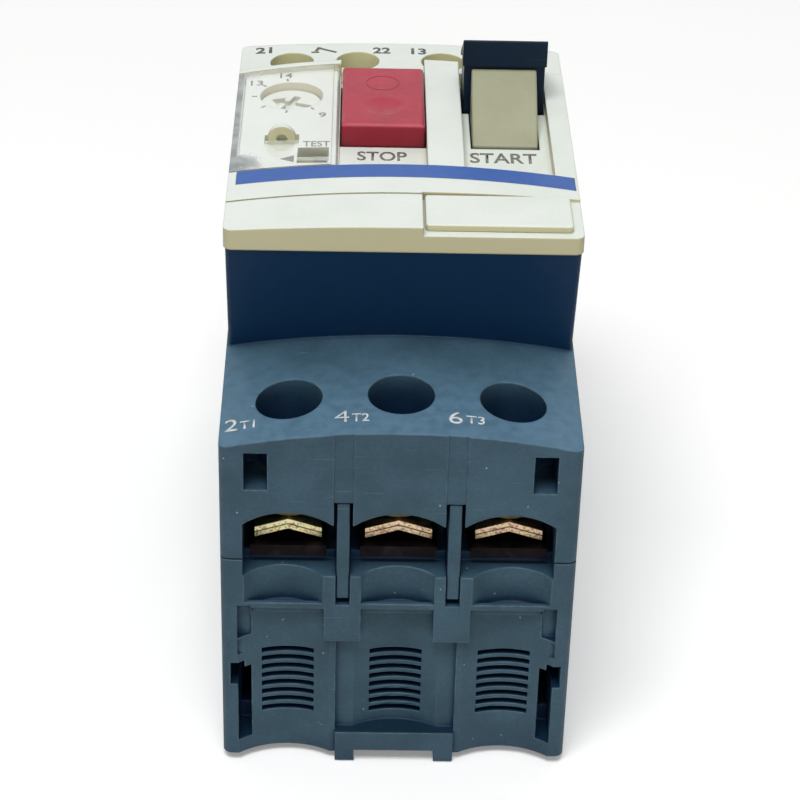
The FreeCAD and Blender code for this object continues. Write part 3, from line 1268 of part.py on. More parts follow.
def start_ramp():
    """Beige wedge that shows in front of the cap while the switch is off."""
    back = START_CAP_Y[0] + START_NECK_INSET
    outline = [(RAMP_NEAR_Y, START_FOOT_Z[1]), (RAMP_NEAR_Y, CHANNEL_FLOOR_Z), (START_CAP_Y[0], RAMP_TOP_Z)]
    outline += [(back, RAMP_TOP_Z), (back, START_FOOT_Z[1])]
    return prism_x(outline, RAMP_X)


def start_spring():
    x, y = start_centre()
    return coil_spring(START_SPRING_RADIUS, SPRING_WIRE, START_SPRING_TURNS, START_BORE_TOP_Z - PLATE_TOP_Z,
                       (x, y, PLATE_TOP_Z), (0, 0, 1))


# Auxiliary contact block

def aux_housing():
    """Block along the far edge of the face with four terminal pockets."""
    half = COVER_WIDTH / 2
    face = bowed_panel((-half, half), (AUX_SPLIT_Y + RUNNING_FIT, AUX_ARC), (COVER_FAR_Y, 0),
                       (NOSE_TOP_Z, COVER_TOP_Z + 1))
    face = soften(face, CORNER_RADIUS, lambda c: c.y > COVER_FAR_Y - 1e-3 and abs(c.x) > half - 1e-3)
    face = face.common(crown(AUX_STEP))
    tongues = []
    for x in (STOP_CHANNEL_X, START_CHANNEL_X):
        limits = (x[0] + RUNNING_FIT, x[1] - RUNNING_FIT)
        tongue = bowed_panel(limits, (AUX_TONGUE_Y, 0), (AUX_SPLIT_Y + 1, AUX_ARC),
                             (CHANNEL_FLOOR_Z + RUNNING_FIT, COVER_TOP_Z + 1))
        tongues.append(tongue.common(crown(AUX_STEP)))
    body = nose_body(WALL + RUN_GAP, AUX_BODY_WIDTH / 2, (AUX_BODY_Z, NOSE_TOP_Z))
    body = body.common(block((-FAR, FAR), (AUX_BODY_Y, FAR), (0, FAR)))
    tools = []
    for x in AUX_SCREW_X:
        tools.append(rod(AUX_HOLE_DIA / 2, (x, AUX_SCREW_Y, NOSE_TOP_Z - 1), (x, AUX_SCREW_Y, FAR)))
        tools.append(block(around(x, AUX_POCKET_WIDTH), (AUX_BODY_Y + AUX_BACK_WALL, FAR),
                           (AUX_POCKET_Z, NOSE_TOP_Z)))
        tools.append(faceted_rod(AUX_SHANK_DIA / 2 + RUN_GAP,
                                 (x, AUX_SCREW_Y, AUX_POCKET_Z - AUX_WELL_DEPTH), FAR))
    return cut_away(join([face, body] + tongues), tools)


def aux_terminal(x):
    """Small brass terminal on the floor of its pocket."""
    plate = block(around(x, AUX_POCKET_WIDTH - 2 * RUN_GAP),
                  (AUX_BODY_Y + AUX_BACK_WALL, nose_half(AUX_POCKET_Z, WALL + 2 * RUN_GAP)),
                  (AUX_POCKET_Z, AUX_POCKET_Z + AUX_PLATE_THICK))
    return plate.cut(faceted_rod(AUX_SHANK_DIA / 2 + RUNNING_FIT, (x, AUX_SCREW_Y, 0), FAR))


def aux_screw(x):
    """Small clamp screw with a single slot."""
    top = AUX_HEAD_Z + AUX_HEAD_HEIGHT
    head = rod(AUX_HEAD_DIA / 2, (x, AUX_SCREW_Y, AUX_HEAD_Z), (x, AUX_SCREW_Y, top))
    low = AUX_POCKET_Z - AUX_SHANK_REACH
    shank = faceted_rod(AUX_SHANK_DIA / 2, (x, AUX_SCREW_Y, low), AUX_HEAD_Z - low)
    slot = block(around(x, AUX_HEAD_DIA), around(AUX_SCREW_Y, SLOT_WIDTH * 0.8), (top - 0.8, top + 1))
    return cut_away(join([head, shank]), [slot])


def aux_washer(x):
    """Square pressure plate under the head of an auxiliary screw."""
    low = AUX_HEAD_Z - AUX_WASHER_THICK
    far = min(AUX_SCREW_Y + AUX_WASHER_SIDE / 2, nose_half(low, WALL + 2 * RUN_GAP))
    plate = block(around(x, AUX_WASHER_SIDE), (AUX_SCREW_Y - AUX_WASHER_SIDE / 2, far), (low, AUX_HEAD_Z))
    return plate.cut(faceted_rod(AUX_SHANK_DIA / 2 + RUNNING_FIT, (x, AUX_SCREW_Y, 0), FAR))


# Write every node

export("base_housing", base_housing())
export("upper_housing", upper_housing())
export("phase_barriers", phase_barriers())
export("front_cover", front_cover())
export("blue_band", blue_band())
export("marker_tag", marker_tag())
export("dial_window", dial_window())
export("setting_dial", setting_dial())
export("stop_button", stop_button())
export("stop_spring", stop_spring())
export("start_button", start_button())
export("start_ramp", start_ramp())
export("start_spring", start_spring())
export("aux_housing", aux_housing())
export("aux_terminals", [aux_terminal(x) for x in AUX_SCREW_X])
export("rail_latch", rail_latch())
export("rail_latch_spring", rail_latch_spring())
export("load_bars", at_poles(load_bar))
export("line_bars", at_poles(line_bar))
export("load_fixed_contacts", at_poles(load_fixed_contact))
export("moving_contacts", at_poles(moving_contact))
export("contact_springs", at_poles(contact_spring))
export("contact_carrier", contact_carrier())
export("arc_holders", at_poles(arc_holder))
export("arc_plates", [plate for x in POLE_X for plate in arc_plates(x)])
export("trip_coils", at_poles(trip_coil))
export("coil_yokes", at_poles(coil_yoke))
export("bimetals", at_poles(bimetal))
export("heaters", at_poles(heater))
export("trip_slide", trip_slide())
export("mechanism_plate", mechanism_plate())
export("trip_lever", trip_lever())
export("trip_lever_pin", trip_lever_pin())
export("latch_lever", latch_lever())
export("latch_pin", latch_pin())

for number, pole_x in enumerate(POLE_X, start=1):
    export("trip_plunger_%d" % number, trip_plunger(pole_x))
    export("load_screw_%d" % number, clamp_screw(pole_x))
    export("load_washers_%d" % number, clamp_washers(pole_x))
    export("line_screw_%d" % number, swap_end(clamp_screw(pole_x)))
    export("line_washers_%d" % number, [swap_end(w) for w in clamp_washers(pole_x)])

for number, screw_x in enumerate(AUX_SCREW_X, start=1):
    export("aux_screw_%d" % number, aux_screw(screw_x))
    export("aux_washer_%d" % number, aux_washer(screw_x))
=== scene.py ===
# %% [markdown]
# # A motor protection switch in the studio
#
# The switch comes as solid CAD pieces that already have their true size and place.
# Blender's work here is the finish: soft moulded edges, the surface of each plastic and metal,
# the return springs, the printed signs, then light and a camera. The CAD pieces are loaded once
# and never moved.

# %% Load the switch
import math
from collections import namedtuple

import bmesh
import bpy
from mathutils import Matrix, Vector


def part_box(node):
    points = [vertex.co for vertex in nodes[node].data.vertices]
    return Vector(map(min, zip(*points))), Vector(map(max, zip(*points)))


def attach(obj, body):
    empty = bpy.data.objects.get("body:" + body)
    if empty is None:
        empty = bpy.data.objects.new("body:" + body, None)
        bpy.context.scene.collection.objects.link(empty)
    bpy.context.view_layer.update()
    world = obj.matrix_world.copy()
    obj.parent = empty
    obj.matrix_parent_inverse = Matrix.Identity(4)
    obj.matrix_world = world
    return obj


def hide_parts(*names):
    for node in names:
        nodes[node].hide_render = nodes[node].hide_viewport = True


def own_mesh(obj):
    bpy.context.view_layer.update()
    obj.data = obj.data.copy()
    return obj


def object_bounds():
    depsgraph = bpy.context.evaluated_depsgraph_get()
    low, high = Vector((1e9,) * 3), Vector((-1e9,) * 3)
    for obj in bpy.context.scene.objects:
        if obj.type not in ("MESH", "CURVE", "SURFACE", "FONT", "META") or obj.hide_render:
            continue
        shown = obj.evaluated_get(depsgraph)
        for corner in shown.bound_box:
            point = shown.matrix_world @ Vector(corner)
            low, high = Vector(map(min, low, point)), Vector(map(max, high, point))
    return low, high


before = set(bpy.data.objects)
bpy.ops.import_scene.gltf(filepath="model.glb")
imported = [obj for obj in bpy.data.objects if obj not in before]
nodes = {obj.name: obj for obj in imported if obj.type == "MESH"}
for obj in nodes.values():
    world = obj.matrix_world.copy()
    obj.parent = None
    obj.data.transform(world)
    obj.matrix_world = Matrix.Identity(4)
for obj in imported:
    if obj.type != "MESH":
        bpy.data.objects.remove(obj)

MM = 0.001
cad_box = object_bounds()
size_mm = [(high - low) / MM for low, high in zip(*cad_box)]
print("loaded", len(nodes), "pieces, size in mm", [round(s, 2) for s in size_mm])

# %% [markdown]
# ## Moulded edges
#
# No moulded edge is perfectly sharp, and the thin highlight along an edge is what makes a render
# look like a thing. The box-shaped pieces get a real bevel from a stack of modifiers: weld the
# split corners, make each flat face whole again, then bevel what is still sharp. The two housings
# have hundreds of small edges that such a bevel would tangle, so their materials round the
# edges in the shading instead, with the Bevel node.

# %% Bevel the box-shaped pieces
EDGE_MM = {"marker_tag": 0.25, "start_button": 0.25, "start_ramp": 0.3, "phase_barriers": 0.15}
EDGE_SEGMENTS = 3
WELD_MM = 0.001
FLAT_DEGREES = 0.3
SHARP_DEGREES = 30


def round_edges(piece, width_mm):
    weld = piece.modifiers.new("join split corners", "WELD")
    weld.merge_threshold = WELD_MM * MM
    whole = piece.modifiers.new("make flat faces whole", "DECIMATE")
    whole.decimate_type = "DISSOLVE"
    whole.angle_limit = math.radians(FLAT_DEGREES)
    edge = piece.modifiers.new("moulded edge", "BEVEL")
    edge.width = width_mm * MM
    edge.segments = EDGE_SEGMENTS
    edge.limit_method = "ANGLE"
    edge.angle_limit = math.radians(SHARP_DEGREES)
    edge.harden_normals = True


for name, width in EDGE_MM.items():
    round_edges(nodes[name], width)
print("real bevels on", list(EDGE_MM))

# %% [markdown]
# ## Tools for materials
#
# Colours are written the way a colour picker shows them, as sRGB hex, and one function turns them
# into the linear numbers that shaders work with. Pattern sizes are given in millimetres: a noise
# whose features are `size` mm wide needs a scale of one over that size in metres. The values of a
# noise lie mostly in a band round one half, so what a noise drives is stretched over that band.

# %% Colours and pattern sizes
NOISE_LOW, NOISE_HIGH = 0.3, 0.7


def linear(hex_colour):
    channels = [int(hex_colour[i:i + 2], 16) / 255 for i in (1, 3, 5)]
    return [c / 12.92 if c <= 0.04045 else ((c + 0.055) / 1.055) ** 2.4 for c in channels] + [1.0]


def per_mm(size):
    return 1 / (size * MM)


print("a 0.2 mm grain has a noise scale of", per_mm(0.2))

# %% [markdown]
# One function adds a node, with its settings and whatever is plugged into it. Every material
# begins with a Principled shader and with the object coordinates, which are in metres here,
# and is then put on the pieces that are made of it.

# %% Nodes and materials
def add(tree, kind, plugs=None, **settings):
    made = tree.nodes.new("ShaderNode" + kind)
    for key, value in settings.items():
        setattr(made, key, value)
    for socket, value in (plugs or {}).items():
        if isinstance(value, bpy.types.NodeSocket):
            tree.links.new(value, made.inputs[socket])
        else:
            made.inputs[socket].default_value = value
    return made


def begin(name):
    material = bpy.data.materials.new(name)
    material.use_nodes = True
    tree = material.node_tree
    shader = tree.nodes["Principled BSDF"]
    where = add(tree, "TexCoord").outputs["Object"]
    return material, tree, shader, where


def dress(material, *names):
    for name in names:
        slots = nodes[name].data.materials
        slots.clear()
        slots.append(material)


print("tools for", len(nodes), "pieces")

# %% [markdown]
# ## Coats of colour
#
# Wear, dust, painted light and painted shade change the colour of a surface in some places only.
# Each is a coat: a colour and one or more masks. A mask reads a value, such as a noise or the tilt
# of a face, and goes from `least` where that value is `low` to `most` where it is `high`. A coat
# lies where all its masks agree, so they are multiplied, and each coat covers the ones before it.

# %% Lay coats
Mask = namedtuple("Mask", "value low high least most", defaults=(0.0, 1.0))


def lay_coats(tree, paint, coats):
    for colour, *masks in coats:
        share = 1.0
        for mask in masks:
            amount = add(tree, "MapRange", {"Value": mask.value, "From Min": mask.low,
                                            "From Max": mask.high, "To Min": mask.least,
                                            "To Max": mask.most})
            both = add(tree, "Math", {0: amount.outputs["Result"], 1: share}, operation="MULTIPLY")
            share = both.outputs[0]
        mixed = add(tree, "Mix", {"Factor": share, "A": paint, "B": linear(colour)}, data_type="RGBA")
        paint = mixed.outputs["Result"]
    return paint


print("a mask holds", Mask._fields)

# %% [markdown]
# ## Moulded plastics
#
# Most of the switch is injection-moulded. The tool steel is spark-eroded, which leaves a fine
# grain on the plastic, the colour drifts a little over some millimetres, corners rub pale, which
# also paints a highlight along the edges, dust sits in specks and handling leaves hair scratches.
# One recipe gives all of that, together with painted light and shade on faces, ledges and nooks,
# and each plastic then has its own colour, gloss and amount of wear. It starts with the pigment,
# which is never quite even: it drifts, and every half millimetre is a shade lighter or darker.

# %% Pigment
DRIFT_MM = 6
CLOUD_MM = 0.5


def pigment(tree, where, colour, shade, mottle):
    drift = add(tree, "TexNoise", {"Vector": where, "Scale": per_mm(DRIFT_MM), "Detail": 5.0})
    tone = lay_coats(tree, linear(shade), [(colour, Mask(drift.outputs["Fac"], low=0.32, high=0.68))])
    cloud = add(tree, "TexNoise", {"Vector": where, "Scale": per_mm(CLOUD_MM), "Detail": 3.0})
    uneven = add(tree, "MapRange", {"Value": cloud.outputs["Fac"], "From Min": NOISE_LOW,
                                    "From Max": NOISE_HIGH, "To Min": 1 - mottle, "To Max": 1 + mottle})
    return add(tree, "VectorMath", {0: tone, 1: uneven.outputs["Result"]}, operation="MULTIPLY").outputs[0]


print("pigment drifts over", DRIFT_MM, "mm")

# %% [markdown]
# Wear and painted light and shade depend on the shape. The Bevel node's rounded normal leaves the
# flat one only along an edge, so their dot product finds the edges. Ambient occlusion tells how much
# a point sees of the room within some millimetres: little in a corner or a slot, all of it on an
# open face. The Z of the normal tells which way a face looks.

# %% What a point of the surface can tell
PATCH_MM = 1.6
CREASE_MM = 1.2
Surface = namedtuple("Surface", "where patch rounded turn crease sky facing")


def survey(tree, where, edge_mm, sky_mm, alone):
    patch = add(tree, "TexNoise", {"Vector": where, "Scale": per_mm(PATCH_MM), "Detail": 6.0})
    rounded = add(tree, "Bevel", {"Radius": edge_mm * MM}, samples=6).outputs["Normal"]
    flat = add(tree, "NewGeometry").outputs["Normal"]
    turn = add(tree, "VectorMath", {0: rounded, 1: flat}, operation="DOT_PRODUCT")
    crease = add(tree, "AmbientOcclusion", {"Distance": CREASE_MM * MM}, samples=6, only_local=alone)
    sky = add(tree, "AmbientOcclusion", {"Distance": sky_mm * MM}, samples=8, only_local=alone)
    facing = add(tree, "SeparateXYZ", {"Vector": add(tree, "TexCoord").outputs["Normal"]})
    return Surface(where, patch.outputs["Fac"], rounded, turn.outputs["Value"], crease.outputs["AO"],
                   sky.outputs["AO"], facing.outputs["Z"])


print("a point tells its", Surface._fields)

# %% [markdown]
# Each kind of wear is a coat with its own masks, and some coats are painted light or shade. Outer
# edges are rubbed pale in patches, which also paints a highlight along them. A pale film, dust
# together with painted top light, needs a face that looks up and open air above it, and fingers
# have scuffed it to blotches. Low ledges near the rail get painted shade. A face that looks another
# way gets another colour, a tint with painted shade, so that coat goes by the tilt alone.

# %% Worn and highlit edges, dust and top light, shaded ledges and shaded walls
LEDGE_FADE_MM = 3


# Worn edges, with a painted highlight along them.
def rubbed_edges(surface, worn, wear):
    # An inner corner sees itself within a millimetre, so it is left out.
    return (worn, Mask(surface.turn, low=0.99, high=0.85, most=wear),
            Mask(surface.patch, low=0.35, high=0.65), Mask(surface.crease, low=0.78, high=0.95))


# Dust together with painted top light on faces that look up and see open air.
def dust_film(surface, pale, share):
    return (pale, Mask(surface.facing, low=0.3, high=0.95, most=share),
            Mask(surface.sky, low=0.5, high=0.98), Mask(surface.patch, low=0.32, high=0.62, least=0.55))


# Painted shade on low faces that look up, such as ledges and slot bottoms.
def oily_ledge(tree, surface, ledge_shade_colour, height, share):
    level = add(tree, "SeparateXYZ", {"Vector": surface.where}).outputs["Z"]
    return (ledge_shade_colour, Mask(level, low=(height + LEDGE_FADE_MM) * MM, high=height * MM, most=share),
            Mask(surface.facing, low=0.3, high=0.8))


# A tint with painted shade on faces tilted away from up.
def aged_faces(surface, wall_tint_and_shade, tilt_low, tilt_high, share):
    return (wall_tint_and_shade, Mask(surface.facing, low=tilt_low, high=tilt_high, most=share))


print("four coats that go by the shape")

# %% [markdown]
# Grains of dust are single dots, a fifth of a millimetre wide, in a few cells of a Voronoi
# pattern. Hair scratches are noise drawn out along one direction, so that only thin ridges of it
# pass the mask. Inner corners and the depth of slots get painted shade, a dark colour where a
# point sees little of the room, and faces that look up get less of it.
# only faces that look up are swept by a brush now and then.

# %% Dust grains, scratches and painted shade in nooks
DUST = "#9FB0BA"
DUST_CELL_MM = 1.8
HAIR_MM = 0.35
HAIR_TURN = (0.4, 0.3, 0.5)
HAIR_STRETCH = (0.05, 1.0, 1.0)
CORNER_SHARE = 0.6


def dust_grains(tree, surface, specks):
    cell = add(tree, "TexVoronoi", {"Vector": surface.where, "Scale": per_mm(DUST_CELL_MM),
                                    "Randomness": 1.0})
    pick = add(tree, "SeparateColor", {"Color": cell.outputs["Color"]})
    rare = add(tree, "Math", {0: pick.outputs["Red"], 1: 1 - specks}, operation="GREATER_THAN")
    return (DUST, Mask(cell.outputs["Distance"], low=0.08, high=0.045, most=0.8),
            Mask(rare.outputs[0], low=0.0, high=1.0))


def hair_scratches(tree, surface, worn, share):
    drawn = add(tree, "Mapping", {"Vector": surface.where, "Rotation": HAIR_TURN, "Scale": HAIR_STRETCH})
    hairs = add(tree, "TexNoise", {"Vector": drawn.outputs[0], "Scale": per_mm(HAIR_MM), "Detail": 1.0})
    return (worn, Mask(hairs.outputs["Fac"], low=0.72, high=0.78, most=share))


# Painted shade in inner corners.
def corner_dirt(surface, painted_nook_shade, share):
    return (painted_nook_shade, Mask(surface.crease, low=0.75, high=0.45, most=CORNER_SHARE * share))


# Painted shade in the depth of slots, weaker on faces that look up.
def slot_dirt(surface, painted_nook_shade, share):
    return (painted_nook_shade, Mask(surface.sky, low=0.62, high=0.2, most=share),
            Mask(surface.facing, low=0.3, high=0.9, least=1.0, most=0.4))


print("dust grains in cells of", DUST_CELL_MM, "mm")

# %% [markdown]
# The recipe lays these coats over the pigment: rubbed edges with their painted highlight first,
# then the film of dust and painted top light, the painted shade of low ledges, the grains and the
# scratches, then the tinted and shaded walls, and painted shade in nooks over all. The
# spark-eroded grain is a bump on the rounded normal. The real grain is finer than a pixel, so it is
# drawn some tenths of a millimetre wide. The gloss changes slowly where hands have polished it.
# The grain shades itself, so a grained plastic mirrors less than a polished one.

# %% One recipe for moulded plastic
PLASTIC_IOR = 1.53
GRAIN_STRENGTH = 0.5
POLISHED, DULLED = -0.05, 0.07


def moulded(name, colour, shade, worn, rough, edge=0.18, grain=0.25, depth=0.01, specks=0.0,
            scratches=0.0, wear=0.35, mirror=0.3, mottle=0.015, wall_tint_and_shade=None, film=None, painted_ledge_shade=None,
            painted_nook_shade=None, sky_mm=3, alone=False):
    material, tree, shader, where = begin(name)
    surface = survey(tree, where, edge, sky_mm, alone)
    coats = [rubbed_edges(surface, worn, wear)]
    if film:
        coats.append(dust_film(surface, *film))
    if painted_ledge_shade:
        coats.append(oily_ledge(tree, surface, *painted_ledge_shade))
    if specks:
        coats.append(dust_grains(tree, surface, specks))
    if scratches:
        coats.append(hair_scratches(tree, surface, worn, scratches))
    if wall_tint_and_shade:
        coats.append(aged_faces(surface, *wall_tint_and_shade))
    if painted_nook_shade:
        coats += [corner_dirt(surface, *painted_nook_shade), slot_dirt(surface, *painted_nook_shade)]
    paint = lay_coats(tree, pigment(tree, where, colour, shade, mottle), coats)

    pits = add(tree, "TexNoise", {"Vector": where, "Scale": per_mm(grain), "Detail": 2.0})
    bump = add(tree, "Bump", {"Height": pits.outputs["Fac"], "Distance": depth * MM,
                              "Strength": GRAIN_STRENGTH, "Normal": surface.rounded})
    gloss = add(tree, "MapRange", {"Value": surface.patch, "From Min": NOISE_LOW,
                                   "From Max": NOISE_HIGH, "To Min": rough + POLISHED,
                                   "To Max": rough + DULLED})
    tree.links.new(paint, shader.inputs["Base Color"])
    tree.links.new(gloss.outputs["Result"], shader.inputs["Roughness"])
    tree.links.new(bump.outputs["Normal"], shader.inputs["Normal"])
    shader.inputs["IOR"].default_value = PLASTIC_IOR
    shader.inputs["Specular IOR Level"].default_value = mirror
    return material


print("one recipe for all moulded plastics")

# %% [markdown]
# ### Housing: glass-filled polyamide
#
# The two halves of the body, the phase barriers and the rail latch are dark blue-grey polyamide
# with glass fibre. It is matt and shows every speck of dust. The faces that look up get a pale
# film, dust with painted top light that fades near the overhanging nose, while the undercut walls
# get a darker, deeper blue, painted shade, so the colour is mixed by the way a face looks. Low
# ledges near the rail and the nooks are painted dark, as shade.

# %% Housing polyamide
# Painted light and shade: the film colour is dust with top light; the wall, ledge and nook colours are
# shade.
housing = moulded("glass_filled_polyamide", "#3F5A68", "#344C59", "#8AA2B0", rough=0.48, edge=0.36,
                  grain=0.22, depth=0.014, specks=0.3, scratches=0.14, wear=0.4, mirror=0.2, mottle=0.08,
                  wall_tint_and_shade=("#012A4B", -0.05, -0.25, 0.97), film=("#54758C", 0.95),
                  painted_ledge_shade=("#06202F", 20, 0.92), painted_nook_shade=("#042444", 0.97), sky_mm=15)
dress(housing, "base_housing", "upper_housing", "phase_barriers", "rail_latch")
print("housing polyamide on 4 pieces")

# %% [markdown]
# ### Cover: aged ABS
#
# The face was moulded in a near-white ABS. Faces that look up stay pale, while the walls and the
# insides of the holes are mixed towards a darker warm cream wherever the surface turns away from
# up: a yellowed tint with painted shade. The auxiliary block gets a lighter cream on its walls,
# painted light. Nooks get painted shade. The clear flap above the cover must not count as a wall
# that keeps out the sky, so each of these pieces looks for nooks in itself alone.

# %% Cover ABS
def aged_abs(name, yellow):
    return moulded(name, "#E1E7E0", "#DBE2DA", "#EEF0E8", rough=0.42, edge=0.3, grain=0.3, depth=0.008,
                   scratches=0.08, wear=0.25, wall_tint_and_shade=(yellow, 0.9, 0.35, 0.9), painted_nook_shade=("#8F8F78", 0.5),
                   alone=True)


# The wall colour is a yellowed tint with painted shade on the cover, and painted light on the auxiliary
# block.
dress(aged_abs("yellowed_abs_with_painted_wall_shade", "#BAB287"), "front_cover", "marker_tag", "setting_dial")
dress(aged_abs("white_abs_with_painted_lit_walls", "#DAD6A4"), "aux_housing")
print("cover ABS on 4 pieces")

# %% [markdown]
# ### Buttons and ramp: coloured ABS
#
# The stop button is red ABS polished by thumbs, with painted shade on its walls and in its nooks.
# The start cap is black and a little glossier, and the ramp in front of it is beige, as is the
# trip lever in the test slot, with painted shade in its nooks.

# %% Button ABS
# The wall colour and the nook colour of these buttons are painted shade.
red_abs = moulded("red_abs", "#AB2A40", "#A0263A", "#C8646E", rough=0.38, edge=0.5, grain=0.3,
                  depth=0.006, scratches=0.1, wear=0.25, wall_tint_and_shade=("#861426", 0.7, 0.2, 0.8),
                  painted_nook_shade=("#4A0F18", 0.6))
black_abs = moulded("black_abs", "#051C30", "#041727", "#263C4E", rough=0.36, edge=0.3, grain=0.3,
                    depth=0.006, specks=0.03, scratches=0.1, wear=0.4, mirror=0.16)
beige_abs = moulded("beige_abs", "#9D9E83", "#93947A", "#BDBBA6", rough=0.4, edge=0.4, grain=0.3,
                    depth=0.006, scratches=0.1, wear=0.2, painted_nook_shade=("#5A5844", 0.6))
dress(red_abs, "stop_button")
dress(black_abs, "start_button")
dress(beige_abs, "start_ramp", "trip_lever")
print("button ABS on 4 pieces")

# %% [markdown]
# ### Inner mouldings and the blue band
#
# Inside, the carrier, slide and latch are brown thermoset, and vulcanised fibre holds the arc
# plates, since it stands the heat. The band across the face is blue ink on a smooth film.

# %% Inner plastics and band
thermoset = moulded("brown_thermoset", "#3A3029", "#2F2721", "#5C5046", rough=0.55, grain=0.4, depth=0.012)
fibre = moulded("vulcanised_fibre", "#8A5A3C", "#774B30", "#A5785A", rough=0.7, grain=0.5, depth=0.02)
blue_film = moulded("blue_ink_on_film", "#2B5AA6", "#2655A0", "#7D9ED8", rough=0.35, edge=0.05, grain=0.3,
                    depth=0.003, scratches=0.1, wear=0.1)
dress(thermoset, "contact_carrier", "trip_slide", "latch_lever")
dress(fibre, "arc_holders")
dress(blue_film, "blue_band")
print("inner plastics on 4 pieces, blue film on the band")

# %% [markdown]
# ### Dial window: clear polycarbonate
#
# The flap is clear polycarbonate, smooth but scuffed. Its shader refracts with the index of
# polycarbonate, so the dial behind it appears shifted as it does in the real thing.

# %% Window polycarbonate
POLYCARBONATE_IOR = 1.58
SCUFF_MM = 3
SMOOTH, SCUFFED = 0.01, 0.05
window_clear, tree, shader, where = begin("clear_polycarbonate")
scuff = add(tree, "TexNoise", {"Vector": where, "Scale": per_mm(SCUFF_MM), "Detail": 6.0})
haze = add(tree, "MapRange", {"Value": scuff.outputs["Fac"], "From Min": 0.4, "From Max": 0.7,
                              "To Min": SMOOTH, "To Max": SCUFFED})
tree.links.new(haze.outputs["Result"], shader.inputs["Roughness"])
shader.inputs["IOR"].default_value = POLYCARBONATE_IOR
dress(window_clear, "dial_window")
print("window polycarbonate on the flap")

# %% [markdown]
# A grey painted shade lies along the left edge of the flap and in its two corners. Each corner is a
# round patch whose outline a noise makes ragged. Where the grey lies, the plastic lets no light through.

# %% Window painted shade
SHADE_GREY = "#747F7E"
SHADE_NOISE_MM = 2
SHADE_EDGE_MM = (-21.3, -21.5)
SHADE_CORNERS_MM = (((-21.6, 20.6, 0.0), 3.6), ((-21.6, -9.6, 0.0), 3.4))
RAGGED_MM = 1.2
CORE_SHARE = 0.6
THIN_SHADE, THICK_SHADE = 0.6, 0.95
# Painted shade: a grey that replaces the clear plastic at the left edge and in two corners.
spot = add(tree, "SeparateXYZ", {"Vector": where}).outputs
level_spot = add(tree, "CombineXYZ", {"X": spot["X"], "Y": spot["Y"]}).outputs[0]
cloud = add(tree, "TexNoise", {"Vector": where, "Scale": per_mm(SHADE_NOISE_MM), "Detail": 5.0})
cloud = cloud.outputs["Fac"]
ragged = add(tree, "MapRange", {"Value": cloud, "From Min": NOISE_LOW, "From Max": NOISE_HIGH,
                                "To Min": -RAGGED_MM * MM, "To Max": RAGGED_MM * MM}).outputs["Result"]
painted_shade = add(tree, "MapRange", {"Value": spot["X"], "From Min": SHADE_EDGE_MM[0] * MM,
                               "From Max": SHADE_EDGE_MM[1] * MM}).outputs["Result"]
for corner, reach in SHADE_CORNERS_MM:
    away = add(tree, "VectorMath", {0: level_spot, 1: Vector(corner) * MM}, operation="DISTANCE")
    away = add(tree, "Math", {0: away.outputs["Value"], 1: ragged})
    near = add(tree, "MapRange", {"Value": away.outputs[0], "From Min": reach * MM,
                                  "From Max": reach * MM * CORE_SHARE})
    painted_shade = add(tree, "Math", {0: painted_shade, 1: near.outputs["Result"]}, operation="MAXIMUM").outputs[0]
uneven = add(tree, "MapRange", {"Value": cloud, "From Min": 0.3, "From Max": 0.6,
                                "To Min": THIN_SHADE, "To Max": THICK_SHADE})
shade_amount = add(tree, "Math", {0: painted_shade, 1: uneven.outputs["Result"]}, operation="MULTIPLY").outputs[0]
tint = lay_coats(tree, linear("#FFFFFF"), [(SHADE_GREY, Mask(shade_amount, low=0.0, high=1.0))])
clear = add(tree, "MapRange", {"Value": shade_amount, "To Min": 1.0, "To Max": 0.0})
tree.links.new(tint, shader.inputs["Base Color"])
tree.links.new(clear.outputs["Result"], shader.inputs["Transmission Weight"])
print("grime on one edge and", len(SHADE_CORNERS_MM), "corners")

# %% [markdown]
# The walls of the flap are cut, not polished: they scatter light like frosted glass. Shadow rays
# and diffuse rays pass straight through, since a thin clear flap hardly shades what lies under it.

# %% Window walls and shadow
FROST = "#B9BAA9"
FROST_SHARE = 0.8
LEVEL_TILT, WALL_TILT = 0.8, 0.4
tilt = add(tree, "SeparateXYZ", {"Vector": add(tree, "TexCoord").outputs["Normal"]}).outputs["Z"]
level = add(tree, "Math", {0: tilt}, operation="ABSOLUTE")
wall = add(tree, "MapRange", {"Value": level.outputs[0], "From Min": LEVEL_TILT, "From Max": WALL_TILT,
                              "To Max": FROST_SHARE})
frost = add(tree, "BsdfDiffuse", {"Color": linear(FROST)})
cut = add(tree, "MixShader", {0: wall.outputs["Result"], 1: shader.outputs[0], 2: frost.outputs[0]})
through = add(tree, "BsdfTransparent", {"Color": linear("#FFFFFF")})
rays = add(tree, "LightPath").outputs
lighting = add(tree, "Math", {0: rays["Is Shadow Ray"], 1: rays["Is Diffuse Ray"]}, operation="MAXIMUM")
window_finish = add(tree, "MixShader", {0: lighting.outputs[0], 1: cut.outputs[0], 2: through.outputs[0]})
tree.links.new(window_finish.outputs[0], tree.nodes["Material Output"].inputs["Surface"])
print("frosted walls on the flap")

# %% [markdown]
# ## Metals
#
# The clamp plates and screws are steel with a yellow-passivated zinc coat, whose thin film
# shimmers from gold to pink and green. The terminals are copper gone dark brown, and the inner
# springs, plates and pins are bare steel. The pairs of clamp plates are sheared from strip: their
# cut faces, which look along Y, are torn to coarse grains, and the seam between the two bent
# plates climbs from both ends to the middle of the pair.

# %% Sheared faces of the clamp plates
TORN, SEAM = "#5B4A35", "#2A2118"
TORN_MM = 0.3
PAIR_MM = 2.7
SEAM_MIDDLE_MM = 2.0
SEAM_END_MM = 0.7


